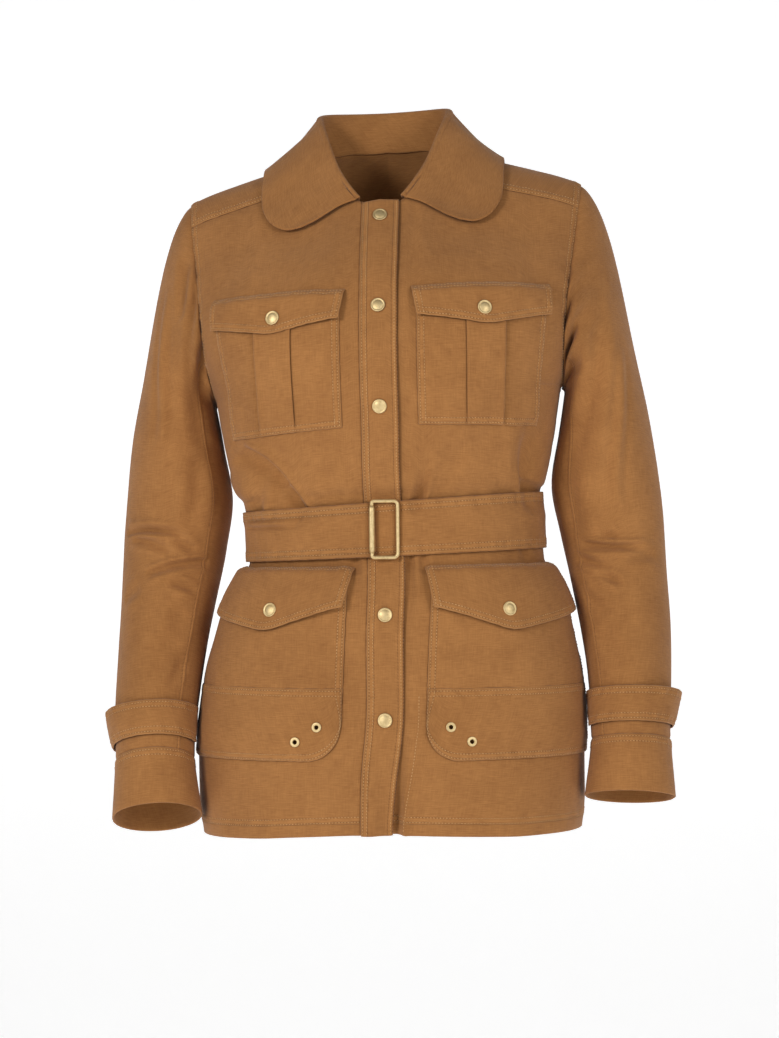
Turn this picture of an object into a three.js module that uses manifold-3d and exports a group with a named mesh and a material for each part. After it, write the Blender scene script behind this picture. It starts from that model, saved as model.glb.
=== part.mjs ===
// Belted safari jacket in its worn shape, in millimetres.
// +Z is up, -Y is the front, +X is the wearer's left. The origin is level with the
// side of the neck, on the middle line of the body.
import * as THREE from "three";
import Module from "manifold-3d";

const wasm = await Module();
wasm.setup();

// Cloth thicknesses and clearances.
const CLOTH = 1.4;
const DOUBLED = 2.2;
const SEAM_GAP = 0.36;
const LAID_GAP = 1.1;
const ARMHOLE_GAP = 1.3;

// Shape of the torso: a superellipse whose half width and depths change with height, and
// which grows squarer from the chest to the shoulders.
const CHEST_ROUNDNESS = 2.3;
const SHOULDER_ROUNDNESS = 3.1;
const SHOULDER_RISE = 120;
const CHEST_Z = -250;
const ARCH = 250;
const RIDGE_Y = 8;
const FRONT_ARCH_POWER = 1.3;
const BACK_ARCH_POWER = 2;
const TORSO = [
  { v: -712, halfWidth: 192, front: 133, back: 127 },
  { v: -657, halfWidth: 198, front: 135, back: 130 },
  { v: -606, halfWidth: 198, front: 134, back: 131 },
  { v: -564, halfWidth: 195, front: 131, back: 130 },
  { v: -530, halfWidth: 190, front: 129, back: 127 },
  { v: -503, halfWidth: 183, front: 127, back: 122 },
  { v: -461, halfWidth: 172, front: 121, back: 110 },
  { v: -432, halfWidth: 158.5, front: 113.5, back: 96.5 },
  { v: -421, halfWidth: 151.2, front: 108.8, back: 88.8 },
  { v: -399, halfWidth: 150.5, front: 108.5, back: 88.5 },
  { v: -377, halfWidth: 150.5, front: 108.5, back: 88.5 },
  { v: -355, halfWidth: 151.2, front: 108.8, back: 88.8 },
  { v: -345, halfWidth: 157.5, front: 113.5, back: 92.5 },
  { v: -330, halfWidth: 162.5, front: 117, back: 95 },
  { v: -300, halfWidth: 169, front: 126, back: 101 },
  { v: -275, halfWidth: 173, front: 133, back: 107 },
  { v: -250, halfWidth: 177, front: 138, back: 112 },
  { v: -225, halfWidth: 183, front: 142, back: 115.5 },
  { v: -195, halfWidth: 189.5, front: 146, back: 118.5 },
  { v: -159, halfWidth: 195, front: 146, back: 120 },
  { v: -125, halfWidth: 198.5, front: 138, back: 120 },
  { v: -75, halfWidth: 204.5, front: 118, back: 114 },
  { v: -25, halfWidth: 210, front: 112, back: 106 },
  { v: 0, halfWidth: 212, front: 112, back: 104 },
];
const SHOULDER_LINE = [
  { x: 0, z: 25 },
  { x: 34, z: 19 },
  { x: 68, z: 0 },
  { x: 112, z: -14 },
  { x: 150, z: -25 },
  { x: 185, z: -36 },
  { x: 200, z: -43 },
  { x: 214, z: -56 },
];

// Openings and seams of the body.
const HEM_FRONT_Z = -689;
const HEM_SIDE_Z = -695;
const ARMHOLE_WIDTH_SHARE = 0.942;
const ARMHOLE_TURN = 25;
const YOKE_SIGMA = 60.1;
const BACK_YOKE_Z = -112;
const NECK_HALF_WIDTH = 68;
const NECK_FRONT_TURN = 46.9;
const NECK_BACK_TURN = 22;

// Soft relief of the cloth: bust and the largest folds pinched by the belt.
const BUST = { x: 76, z: -188, radius: 62, height: 7 };
const GATHERS = [
  { face: 1, x: -83, z: -364, toX: -138, toZ: -303, width: 12, depth: -3.6 },
  { face: 1, x: 138, z: -364, toX: 150, toZ: -304, width: 11, depth: -3.6 },
  { face: 1, x: 32, z: -362, toX: 45, toZ: -308, width: 11, depth: -2.2 },
  { face: -1, x: -96, z: -352, toX: -70, toZ: -290, width: 14, depth: -3.2 },
  { face: -1, x: -30, z: -352, toX: -22, toZ: -300, width: 13, depth: -2.6 },
  { face: -1, x: 52, z: -352, toX: 40, toZ: -285, width: 14, depth: -3.2 },
  { face: -1, x: 112, z: -352, toX: 92, toZ: -300, width: 13, depth: -3 },
  { face: -1, x: -74, z: -424, toX: -84, toZ: -500, width: 14, depth: -3.2 },
  { face: -1, x: 8, z: -424, toX: 10, toZ: -510, width: 15, depth: -3 },
  { face: -1, x: 88, z: -424, toX: 96, toZ: -490, width: 14, depth: -3.2 },
];

// Worn stance: how far each height is shifted sideways, and its tilt.
const STANCE = [
  { z: -712, sway: 2.5, tilt: 0.02 },
  { z: -620, sway: 1, tilt: 0.012 },
  { z: -564, sway: 2.5, tilt: 0.006 },
  { z: -500, sway: 4.5, tilt: 0.006 },
  { z: -440, sway: 6.5, tilt: 0.012 },
  { z: -388, sway: 4.5, tilt: 0.03 },
  { z: -359, sway: 1.5, tilt: 0.042 },
  { z: -316, sway: -0.87, tilt: 0.045 },
  { z: -250, sway: -2.15, tilt: 0.045 },
  { z: -100, sway: -5.06, tilt: 0.045 },
  { z: 60, sway: -8.2, tilt: 0.045 },
];
const SLEEVE_STANCE = { swayTop: -7, swayPerMm: -13 / 670, tilt: 0.045 };

// Placket strip: its middle line wanders a little.
const PLACKET_HALF = 17.8;
const PLACKET_LINE = [
  { z: -712, x: -5 },
  { z: -640, x: -3 },
  { z: -576, x: 1 },
  { z: -473, x: -2.5 },
  { z: -388, x: -3 },
  { z: -266, x: 0 },
  { z: -40, x: 0 },
];
const PLACKET = { inner: -0.9, outer: 1.6, underlap: 16.5, sink: 1.7 };

// Collar: one row per column from the front end to the back centre.
const COLLAR = [
  { alpha: 19, rollX: 23, rollY: -69, rollZ: -53, edgeX: 79, edgeZ: -84, behind: 0 },
  { alpha: 28, rollX: 31, rollY: -62, rollZ: -42, edgeX: 92, edgeZ: -86, behind: 0 },
  { alpha: 37, rollX: 38, rollY: -54, rollZ: -31, edgeX: 105, edgeZ: -81, behind: 0 },
  { alpha: 46, rollX: 45, rollY: -44, rollZ: -19, edgeX: 114.5, edgeZ: -71, behind: 0 },
  { alpha: 56, rollX: 51.5, rollY: -33, rollZ: -4, edgeX: 120, edgeZ: -58, behind: 0 },
  { alpha: 68, rollX: 58.5, rollY: -18, rollZ: 15, edgeX: 121.5, edgeZ: -43, behind: 0 },
  { alpha: 80, rollX: 64.5, rollY: -1, rollZ: 31, edgeX: 121.5, edgeZ: -28, behind: 0 },
  { alpha: 95, rollX: 67.5, rollY: 17, rollZ: 41, edgeX: 120.5, edgeZ: -20, behind: 1 },
  { alpha: 112, rollX: 62.5, rollY: 33, rollZ: 45, edgeX: 112, edgeZ: -31, behind: 1 },
  { alpha: 130, rollX: 50, rollY: 46, rollZ: 46.5, edgeX: 90, edgeZ: -38, behind: 1 },
  { alpha: 150, rollX: 30, rollY: 56, rollZ: 47, edgeX: 54, edgeZ: -41, behind: 1 },
  { alpha: 180, rollX: 0, rollY: 61, rollZ: 47, edgeX: 0, edgeZ: -42, behind: 1 },
];
const COLLAR_ROLL = 2.8;
const COLLAR_LIFT = 3.9;
const COLLAR_FALL_POWER = 1.15;

// Sleeve: one row per ring, each given by its inner, outer and front points.
const SLEEVE_RINGS = [
  { inX: 179.5, inZ: -258, outX: 254.5, outZ: -225, depth: 62, yR: 6, yL: 6, pitchR: 0, pitchL: 0 },
  { inX: 173, inZ: -300, outX: 267, outZ: -286, depth: 61, yR: 13, yL: 13, pitchR: 0, pitchL: 0 },
  { inX: 166, inZ: -350, outX: 275, outZ: -343, depth: 58, yR: 19, yL: 20, pitchR: 2, pitchL: 1 },
  { inX: 173.5, inZ: -400, outX: 280, outZ: -397, depth: 54, yR: 17, yL: 20, pitchR: 5, pitchL: 3 },
  { inX: 183, inZ: -450, outX: 282, outZ: -448, depth: 51, yR: 4, yL: 10, pitchR: 9, pitchL: 5 },
  { inX: 192, inZ: -500, outX: 283.5, outZ: -500, depth: 49, yR: -14, yL: -4, pitchR: 13, pitchL: 8 },
  { inX: 198, inZ: -545, outX: 283, outZ: -548, depth: 47, yR: -34, yL: -20, pitchR: 17, pitchL: 10 },
  { inX: 201, inZ: -585, outX: 281.5, outZ: -588, depth: 45.5, yR: -50, yL: -32, pitchR: 20, pitchL: 12 },
  { inX: 201, inZ: -611, outX: 281, outZ: -614, depth: 45, yR: -57, yL: -36, pitchR: 21.5, pitchL: 12.5 },
  { inX: 194, inZ: -666, outX: 284, outZ: -671, depth: 45.5, yR: -66, yL: -41, pitchR: 23.5, pitchL: 13.4 },
];
const SLEEVE_FRONT_SEAM = 136;
const SLEEVE_BACK_SEAM = 235;
const CUFF_RING = 8;
const CUFF_END_RING = 9;
const STRAP = { top: 6.42, bottom: 7.48, from: -118, to: 172, standOff: 7.5, gap: 1.4 };

// Chest pockets and flaps: distances round the body from the front centre, heights.
const CHEST_POCKET = { inner: 38, outer: 173, top: -162, bottomInner: -285.5, bottomOuter: -292 };
const PLEAT = { inner: 86, outer: 124, rise: 1.5 };
const CHEST_FLAP = {
  inner: 33,
  lean: 5.5,
  outer: 176,
  top: -151,
  corner: -181,
  point: -192,
  pointAt: 103,
};
const CHEST_SNAP = { at: 103, z: -177 };

// Lower pockets and flaps.
const LOWER_POCKET = { inner: 42, sideGap: 3, top: -441, seam: -546.5, bottom: -617, corner: 36, bulge: 4 };
const LOWER_FLAP = {
  inner: 35,
  lean: 10,
  top: -425,
  cornerInner: -466,
  cornerOuter: -472,
  point: -490,
  pointAt: 116.5,
};
const LOWER_SNAP = { at: 118.5, z: -469.5 };
const EYELETS = [
  { at: 66, z: -583.5 },
  { at: 87, z: -598 },
];
const EYELET = { hole: 2.1, barrel: 2.7, rim: 4.9, height: 1.1, clearance: 0.35 };

// Belt and buckle.
const BELT = { z: -388, width: 53, thick: 2, inner: 1.8, layer: 2.4, tip: -106, extraTilt: 0.03 };
const BUCKLE = { x: -2.6, width: 29.6, height: 59, bar: 2.5, wire: 1.6, corner: 4, left: 10.4, right: 7.6 };

// Snaps.
const SNAP = { radius: 7.2, rim: 1.1, dome: 0.9 };
const FRONT_SNAPS = [
  { z: -74 },
  { z: -168 },
  { z: -266.5 },
  { z: -473 },
  { z: -576.5 },
];

const COLOURS = {
  cloth: { colour: 0xa37140, roughness: 0.88, metalness: 0 },
  brass: { colour: 0xd8c48e, roughness: 0.32, metalness: 1 },
};

// Small vector helpers on arrays.
const rad = (deg) => (deg * Math.PI) / 180;
const add = (a, b) => [a[0] + b[0], a[1] + b[1], a[2] + b[2]];
const sub = (a, b) => [a[0] - b[0], a[1] - b[1], a[2] - b[2]];
const mul = (a, s) => [a[0] * s, a[1] * s, a[2] * s];
const dot = (a, b) => a[0] * b[0] + a[1] * b[1] + a[2] * b[2];
const cross = (a, b) => [
  a[1] * b[2] - a[2] * b[1],
  a[2] * b[0] - a[0] * b[2],
  a[0] * b[1] - a[1] * b[0],
];
const unit = (a) => mul(a, 1 / Math.max(Math.hypot(...a), 1e-9));
const mix = (a, b, t) => a + (b - a) * t;
const clamp = (x, low, high) => Math.min(Math.max(x, low), high);
const ease = (t) => {
  const c = clamp(t, 0, 1);
  return c * c * (3 - 2 * c);
};
const steps = (n, from = 0, to = 1) =>
  Array.from({ length: n + 1 }, (_, i) => from + ((to - from) * i) / n);

// Value of one column of a table at a key, by a cubic that doesn't overshoot.
function lookup(table, key, column, at) {
  const last = table.length - 1;
  if (at <= table[0][key]) return table[0][column];
  if (at >= table[last][key]) return table[last][column];
  let i = 0;
  while (table[i + 1][key] < at) i += 1;
  const slope = (j) =>
    (table[j + 1][column] - table[j][column]) / (table[j + 1][key] - table[j][key]);
  const tangent = (j) => {
    if (j === 0) return slope(0);
    if (j === last) return slope(last - 1);
    const before = slope(j - 1);
    const after = slope(j);
    return before * after <= 0 ? 0 : (2 * before * after) / (before + after);
  };
  const h = table[i + 1][key] - table[i][key];
  const t = (at - table[i][key]) / h;
  return (
    (2 * t ** 3 - 3 * t ** 2 + 1) * table[i][column] +
    (t ** 3 - 2 * t ** 2 + t) * h * tangent(i) +
    (3 * t ** 2 - 2 * t ** 3) * table[i + 1][column] +
    (t ** 3 - t ** 2) * h * tangent(i + 1)
  );
}
const shoulderZ = (x) => lookup(SHOULDER_LINE, "x", "z", Math.abs(x));
const placketX = (z) => lookup(PLACKET_LINE, "z", "x", z);

const roundness = (v) =>
  mix(CHEST_ROUNDNESS, SHOULDER_ROUNDNESS, ease((v - CHEST_Z) / SHOULDER_RISE));

// Point of the torso at an angle round the body (0 front, 90 wearer's left) and a height v.
function torsoPoint(theta, v) {
  const s = Math.sin(rad(theta));
  const c = Math.cos(rad(theta));
  const power = 2 / roundness(v);
  const x = lookup(TORSO, "v", "halfWidth", v) * Math.sign(s) * Math.abs(s) ** power;
  const t = clamp((v - CHEST_Z) / ARCH, 0, 1);
  const isFront = c >= 0;
  const arch = Math.sqrt(1 - t ** (isFront ? FRONT_ARCH_POWER : BACK_ARCH_POWER));
  const depth = lookup(TORSO, "v", isFront ? "front" : "back", v) * arch;
  const y = (isFront ? -1 : 1) * depth * Math.abs(c) ** power + RIDGE_Y * t * t;
  const z = v <= CHEST_Z ? v : CHEST_Z + (shoulderZ(x) - CHEST_Z) * t;
  return [x, y, z];
}

// Height v at which the torso passes level z at an angle.
function vOfZ(theta, z) {
  if (z <= CHEST_Z) return z;
  let v = z;
  for (let k = 0; k < 8; k += 1) {
    const x = torsoPoint(theta, v)[0];
    v = CHEST_Z + (ARCH * (z - CHEST_Z)) / (shoulderZ(x) - CHEST_Z);
    v = Math.min(v, -0.5);
  }
  return v;
}

function reliefAt(p) {
  const face = p[1] < 0 ? 1 : -1;
  let d = 0;
  if (face === 1) {
    const r = Math.hypot(Math.abs(p[0]) - BUST.x, (p[2] - BUST.z) * 0.85) / BUST.radius;
    d += BUST.height * Math.exp(-r * r);
  }
  for (const g of GATHERS) {
    if (g.face !== face) continue;
    const ax = g.toX - g.x;
    const az = g.toZ - g.z;
    const along = clamp(
      ((p[0] - g.x) * ax + (p[2] - g.z) * az) / (ax * ax + az * az),
      0,
      1,
    );
    const r = Math.hypot(p[0] - g.x - ax * along, p[2] - g.z - az * along) / g.width;
    d += g.depth * Math.exp(-r * r) * (1 - ease(along) * 0.85);
  }
  return d;
}

// Point on the torso moved out along its normal; the relief is part of the surface.
function torso(theta, v, out = 0) {
  const e = 0.4;
  const p = torsoPoint(theta, v);
  const du = sub(torsoPoint(theta + e, v), torsoPoint(theta - e, v));
  const high = Math.min(v + 1, -0.05);
  const dv = sub(torsoPoint(theta, high), torsoPoint(theta, high - 2));
  const n = unit(cross(du, dv));
  return add(p, mul(n, out + reliefAt(p)));
}

// The same surface by distance x from the middle and the angle sigma over the shoulder
// (0 chest, 90 ridge, 180 back).
function archPoint(x, sigma) {
  const t = Math.sin(rad(sigma));
  const v = CHEST_Z + ARCH * t;
  const a = lookup(TORSO, "v", "halfWidth", v);
  const n = roundness(v);
  const ratio = Math.max(1 - (Math.abs(x) / a) ** n, 0) ** (1 / n);
  const isFront = sigma <= 90;
  const arch = Math.sqrt(Math.max(1 - t ** (isFront ? FRONT_ARCH_POWER : BACK_ARCH_POWER), 0));
  const depth = lookup(TORSO, "v", isFront ? "front" : "back", v) * arch * ratio;
  return [
    x,
    (isFront ? -1 : 1) * depth + RIDGE_Y * t * t,
    CHEST_Z + (shoulderZ(x) - CHEST_Z) * t,
  ];
}
function arch(x, sigma, out = 0) {
  const p = archPoint(x, sigma);
  const dx = sub(archPoint(x + 1, sigma), archPoint(x - 1, sigma));
  const ds = sub(archPoint(x, sigma + 0.6), archPoint(x, sigma - 0.6));
  const away = unit(cross(dx, ds));
  return add(p, mul(away, out + reliefAt(p)));
}
const sigmaOfZ = (x, z, behind) => {
  const t = clamp((z - CHEST_Z) / (shoulderZ(x) - CHEST_Z), 0, 1);
  const s = (Math.asin(t) * 180) / Math.PI;
  return behind ? 180 - s : s;
};

// Angle whose distance round the body from the front centre, at height v or level z, is u.
const girthTables = new Map();
function girth(v, level) {
  const key = v.toFixed(3) + level;
  if (!girthTables.has(key)) {
    const rows = [{ theta: 0, u: 0 }];
    let before = torsoPoint(0, level ? vOfZ(0, v) : v);
    for (let theta = 1.5; theta <= 180; theta += 1.5) {
      const p = torsoPoint(theta, level ? vOfZ(theta, v) : v);
      const u = rows[rows.length - 1].u + Math.hypot(p[0] - before[0], p[1] - before[1]);
      rows.push({ theta, u });
      before = p;
    }
    girthTables.set(key, rows);
  }
  return girthTables.get(key);
}
const thetaOfU = (v, u, level = "") =>
  Math.sign(u) * lookup(girth(v, level), "u", "theta", Math.abs(u));
const uOfTheta = (v, theta, level = "") => lookup(girth(v, level), "theta", "u", theta);

// Point of the front by distance round the body and level z, on side 1 (left) or -1 (right).
function onBody(side, u, z, out = 0) {
  const theta = thetaOfU(z, u, "level");
  return torso(side * theta, vOfZ(theta, z), out);
}

// Angle of the armhole edge at a height above the chest line.
function armholeTheta(v, behind) {
  const t = clamp((v - CHEST_Z) / ARCH, 0, 1);
  const omega = (Math.asin(t) * 180) / Math.PI;
  const share = Math.min(omega / ARMHOLE_TURN, 1);
  const n = roundness(v);
  const full = (1 - ARMHOLE_WIDTH_SHARE ** n) ** (1 / n);
  const pr = full * Math.sqrt(1 - (1 - share) ** 2);
  const theta = (Math.acos(pr ** (n / 2)) * 180) / Math.PI;
  return behind ? 180 - theta : theta;
}
const armholeX = (v) => torsoPoint(armholeTheta(v, false), v)[0];

// Stance applied to finished points.
function stand(p) {
  const tilt = lookup(STANCE, "z", "tilt", p[2]);
  return [p[0] + lookup(STANCE, "z", "sway", p[2]), p[1], p[2] + tilt * p[0]];
}
const standSleeve = (p) => [
  p[0] + SLEEVE_STANCE.swayTop + SLEEVE_STANCE.swayPerMm * p[2],
  p[1],
  p[2] + SLEEVE_STANCE.tilt * p[0],
];

// Closed wall between two grids of points of the same size; round joins the last column
// to the first.
function wall(outer, inner, pose, round = false) {
  const rows = outer.length;
  const cols = outer[0].length;
  const points = [...outer.flat(), ...inner.flat()].map(pose);
  const faces = [];
  const at = (layer, i, j) => layer * rows * cols + i * cols + (j % cols);
  const quad = (a, b, c, d) => faces.push(a, b, c, a, c, d);
  const spans = round ? cols : cols - 1;
  for (let i = 0; i < rows - 1; i += 1)
    for (let j = 0; j < spans; j += 1) {
      quad(at(0, i, j), at(0, i, j + 1), at(0, i + 1, j + 1), at(0, i + 1, j));
      quad(at(1, i, j), at(1, i + 1, j), at(1, i + 1, j + 1), at(1, i, j + 1));
    }
  for (let j = 0; j < spans; j += 1) {
    quad(at(1, 0, j), at(1, 0, j + 1), at(0, 0, j + 1), at(0, 0, j));
    quad(at(0, rows - 1, j), at(0, rows - 1, j + 1), at(1, rows - 1, j + 1), at(1, rows - 1, j));
  }
  if (!round)
    for (let i = 0; i < rows - 1; i += 1) {
      quad(at(0, i, 0), at(0, i + 1, 0), at(1, i + 1, 0), at(1, i, 0));
      quad(at(1, i, cols - 1), at(1, i + 1, cols - 1), at(0, i + 1, cols - 1), at(0, i, cols - 1));
    }
  return solid(points, faces);
}

// Geometry from points and faces, turned so that its faces point out.
function solid(points, faces) {
  let volume = 0;
  for (let k = 0; k < faces.length; k += 3) {
    const [a, b, c] = [points[faces[k]], points[faces[k + 1]], points[faces[k + 2]]];
    volume += dot(a, cross(b, c));
  }
  const turned = [...faces];
  if (volume < 0)
    for (let k = 0; k < turned.length; k += 3)
      [turned[k + 1], turned[k + 2]] = [turned[k + 2], turned[k + 1]];
  const geometry = new THREE.BufferGeometry();
  geometry.setAttribute("position", new THREE.Float32BufferAttribute(points.flat(), 3));
  geometry.setIndex(turned);
  geometry.computeVertexNormals();
  return geometry;
}

// Normals of a grid of points by central differences.
function gridNormals(grid, flip = 1) {
  const rows = grid.length;
  const cols = grid[0].length;
  return grid.map((row, i) =>
    row.map((_, j) => {
      const du = sub(grid[i][Math.min(j + 1, cols - 1)], grid[i][Math.max(j - 1, 0)]);
      const dv = sub(grid[Math.min(i + 1, rows - 1)][j], grid[Math.max(i - 1, 0)][j]);
      return mul(unit(cross(du, dv)), flip);
    }),
  );
}
const shifted = (grid, normals, amount) =>
  grid.map((row, i) => row.map((p, j) => add(p, mul(normals[i][j], amount))));

// Top height of a front column: the neckline where it crosses it, else the yoke seam.
const inNeck = (p, v, grow) => {
  const omega = (Math.asin(clamp((v - CHEST_Z) / ARCH, 0, 1)) * 180) / Math.PI;
  const a = p[0] / (NECK_HALF_WIDTH + grow);
  const b = (90 - omega) / (NECK_FRONT_TURN + grow * 0.3);
  return a * a + b * b < 1;
};
function topOfColumn(thetaAt, grow) {
  const seam = CHEST_Z + ARCH * Math.sin(rad(YOKE_SIGMA)) - SEAM_GAP;
  if (!inNeck(torsoPoint(thetaAt(seam), seam), seam, grow)) return seam;
  let low = -150;
  let high = seam;
  for (let k = 0; k < 30; k += 1) {
    const v = (low + high) / 2;
    if (inNeck(torsoPoint(thetaAt(v), v), v, grow)) high = v;
    else low = v;
  }
  return low;
}

const hemZ = (theta) => mix(HEM_FRONT_Z, HEM_SIDE_Z, ease(Math.abs(Math.sin(rad(theta)))));

// Heights of the rows of a body panel: even below and above the belt, set under the belt.
const WAIST_ROWS = [-473, -445, -432, -421, -388, -355, -345];
const bodyRows = (low, top) => [...steps(4, low, -504), ...WAIST_ROWS, ...steps(8, -330, top)];

// Front panel of one side; share 0 is its centre edge, 1 its side seam and armhole.
const FRONT_SHARES = [0.08, 0.16, 0.24, 0.32, 0.4, 0.48, 0.56, 0.64, 0.72, 0.8, 0.87, 0.935, 1];
function frontPanel(side) {
  const near = side > 0 ? [0, 18, 37, 46] : [0, 10];
  const columns = [
    ...near.map((offset) => ({ offset, share: 0 })),
    ...FRONT_SHARES.map((share) => ({ offset: near[near.length - 1], share })),
  ];
  const start = (z) =>
    side < 0 ? PLACKET_HALF + 2 * SEAM_GAP - placketX(z) : placketX(z) - PLACKET.underlap;
  const end = (v) =>
    v > CHEST_Z - SEAM_GAP
      ? uOfTheta(v, armholeTheta(v + SEAM_GAP, false)) - ARMHOLE_GAP / 2
      : uOfTheta(v, 90) - SEAM_GAP / 2;
  const outer = [];
  const inner = [];
  for (const { offset, share } of columns) {
    const thetaAt = (v) => thetaOfU(v, mix(start(v) + offset, end(v), share));
    const top = topOfColumn(thetaAt, 0);
    const low = hemZ(share * 90);
    outer.push([]);
    inner.push([]);
    for (const v of bodyRows(low, top)) {
      const theta = thetaAt(v);
      const x = torsoPoint(theta, v)[0];
      const under = side > 0 ? ease((PLACKET_HALF + placketX(v) + 11 - x) / 9) : 0;
      const shift = -PLACKET.sink * under;
      outer[outer.length - 1].push(torso(side * theta, v, shift));
      inner[inner.length - 1].push(torso(side * theta, v, shift - CLOTH));
    }
  }
  return wall(outer, inner, stand);
}

function backPanel() {
  const shares = steps(24, -1, 1);
  const outer = [];
  const inner = [];
  for (const share of shares) {
    const thetaAt = (v) => {
      const half = uOfTheta(v, 180);
      const edge =
        v > CHEST_Z - SEAM_GAP
          ? uOfTheta(v, armholeTheta(v + SEAM_GAP, true)) + ARMHOLE_GAP / 2
          : uOfTheta(v, 90) + SEAM_GAP / 2;
      return thetaOfU(v, half - (half - edge) * Math.abs(share));
    };
    let top = -150;
    for (let k = 0; k < 12; k += 1) top = vOfZ(thetaAt(top), BACK_YOKE_Z - SEAM_GAP);
    const low = mix(HEM_FRONT_Z - 8, HEM_SIDE_Z, ease(Math.abs(share)));
    outer.push([]);
    inner.push([]);
    for (const v of bodyRows(low, top)) {
      const theta = thetaAt(v) * (share < 0 ? -1 : 1);
      outer[outer.length - 1].push(torso(theta, v));
      inner[inner.length - 1].push(torso(theta, v, -CLOTH));
    }
  }
  return wall(outer, inner, stand);
}

// Half of the yoke's columns, from a front seam to the back centre, as pairs of
// neckline and outer points in x and sigma.
function yokeColumns() {
  const backX = armholeX(-84);
  const backSigma = sigmaOfZ(backX, BACK_YOKE_Z, true);
  const alphaStart = (Math.acos((90 - YOKE_SIGMA) / NECK_FRONT_TURN) * 180) / Math.PI;
  const columns = [];
  for (const s of steps(7)) {
    const sigma = mix(YOKE_SIGMA, backSigma, s);
    const v = CHEST_Z + ARCH * Math.sin(rad(sigma));
    columns.push({ alpha: mix(alphaStart, 122, s), x: armholeX(v) - ARMHOLE_GAP / 2, sigma });
  }
  const corner = columns[columns.length - 1];
  for (const s of steps(7).slice(1)) {
    const x = corner.x * (1 - s);
    columns.push({ alpha: mix(122, 180, s), x, sigma: sigmaOfZ(x, BACK_YOKE_Z, true) });
  }
  return columns;
}
const neckSigma = (alpha) =>
  90 - Math.cos(rad(alpha)) * (alpha < 90 ? NECK_FRONT_TURN : NECK_BACK_TURN);
function yoke() {
  const half = yokeColumns();
  const columns = [
    ...half.map((c) => ({ ...c, side: -1 })),
    ...half.slice(0, -1).reverse().map((c) => ({ ...c, side: 1 })),
  ];
  const outer = [];
  const inner = [];
  for (const c of columns) {
    const neckX = NECK_HALF_WIDTH * Math.sin(rad(c.alpha));
    outer.push([]);
    inner.push([]);
    for (const r of [0, 0.16, 0.34, 0.56, 0.78, 1]) {
      const x = c.side * mix(neckX, c.x, r);
      const sigma = mix(neckSigma(c.alpha), c.sigma, r);
      outer[outer.length - 1].push(arch(x, sigma));
      inner[inner.length - 1].push(arch(x, sigma, -CLOTH));
    }
  }
  return wall(outer, inner, stand);
}

function placket() {
  const outer = [];
  const inner = [];
  for (const share of [-1, -0.5, 0, 0.5, 1]) {
    const thetaAt = (v) => thetaOfU(v, placketX(v) + PLACKET_HALF * share);
    outer.push([]);
    inner.push([]);
    for (const v of bodyRows(HEM_FRONT_Z - 0.5, topOfColumn(thetaAt, 0))) {
      const theta = thetaAt(v);
      outer[outer.length - 1].push(torso(theta, v, PLACKET.outer));
      inner[inner.length - 1].push(torso(theta, v, PLACKET.inner));
    }
  }
  return wall(outer, inner, stand);
}

// Collar: each column is one line from the neck seam up the stand, over the roll and
// down the fall.
function collar() {
  const at = (alpha, column) => lookup(COLLAR, "alpha", column, alpha);
  const half = [19, 25, 31, 37, 43, 50, 57, 66, 75, 84, 93, 104, 118, 134, 150, 165, 180];
  const sides = [
    ...half.map((alpha) => ({ alpha, side: -1 })),
    ...half.slice(0, -1).reverse().map((alpha) => ({ alpha, side: 1 })),
  ];
  const lift = DOUBLED / 2 + COLLAR_LIFT;
  const lines = sides.map(({ alpha, side }) => {
    const neckX = side * NECK_HALF_WIDTH * Math.sin(rad(alpha));
    const sigma = neckSigma(alpha);
    const seam = arch(neckX, sigma);
    const into = arch(neckX * 0.95, 90 + (sigma - 90) * 0.95, -CLOTH / 2);
    const foot = add(arch(neckX, sigma, -CLOTH / 2), mul(unit(sub(into, seam)), 1.9));
    const roll = [side * at(alpha, "rollX"), at(alpha, "rollY"), at(alpha, "rollZ")];
    const edgeX = side * at(alpha, "edgeX");
    const behind = alpha >= 88;
    const edgeSigma = alpha >= 84 && alpha < 88 ? 90 : sigmaOfZ(edgeX, at(alpha, "edgeZ"), behind);
    const up = unit(sub(roll, foot));
    const away = sub(arch(mix(neckX, edgeX, 0.5), mix(sigma, edgeSigma, 0.5)), seam);
    const out = unit(sub(away, mul(up, dot(away, up))));
    const radius = Math.min(COLLAR_ROLL, 0.3 * Math.hypot(...sub(roll, foot)));
    const middle = sub(roll, mul(up, radius));
    const line = [foot];
    const standTop = sub(middle, mul(out, radius));
    line.push(add(mul(foot, 0.5), mul(standTop, 0.5)), standTop);
    for (const turn of [135, 90, 45])
      line.push(
        add(
          middle,
          add(mul(out, radius * Math.cos(rad(turn))), mul(up, radius * Math.sin(rad(turn)))),
        ),
      );
    const fallTop = add(middle, mul(out, radius));
    const lead = sub(fallTop, arch(neckX, sigma, lift));
    line.push(fallTop);
    for (const t of [0.2, 0.4, 0.6, 0.8, 1]) {
      const laid = arch(mix(neckX, edgeX, t), mix(sigma, edgeSigma, t), lift);
      line.push(add(laid, mul(lead, (1 - t) ** COLLAR_FALL_POWER)));
    }
    return line;
  });
  const normals = gridNormals(lines);
  return wall(
    shifted(lines, normals, DOUBLED / 2),
    shifted(lines, normals, -DOUBLED / 2),
    stand,
  );
}

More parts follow.
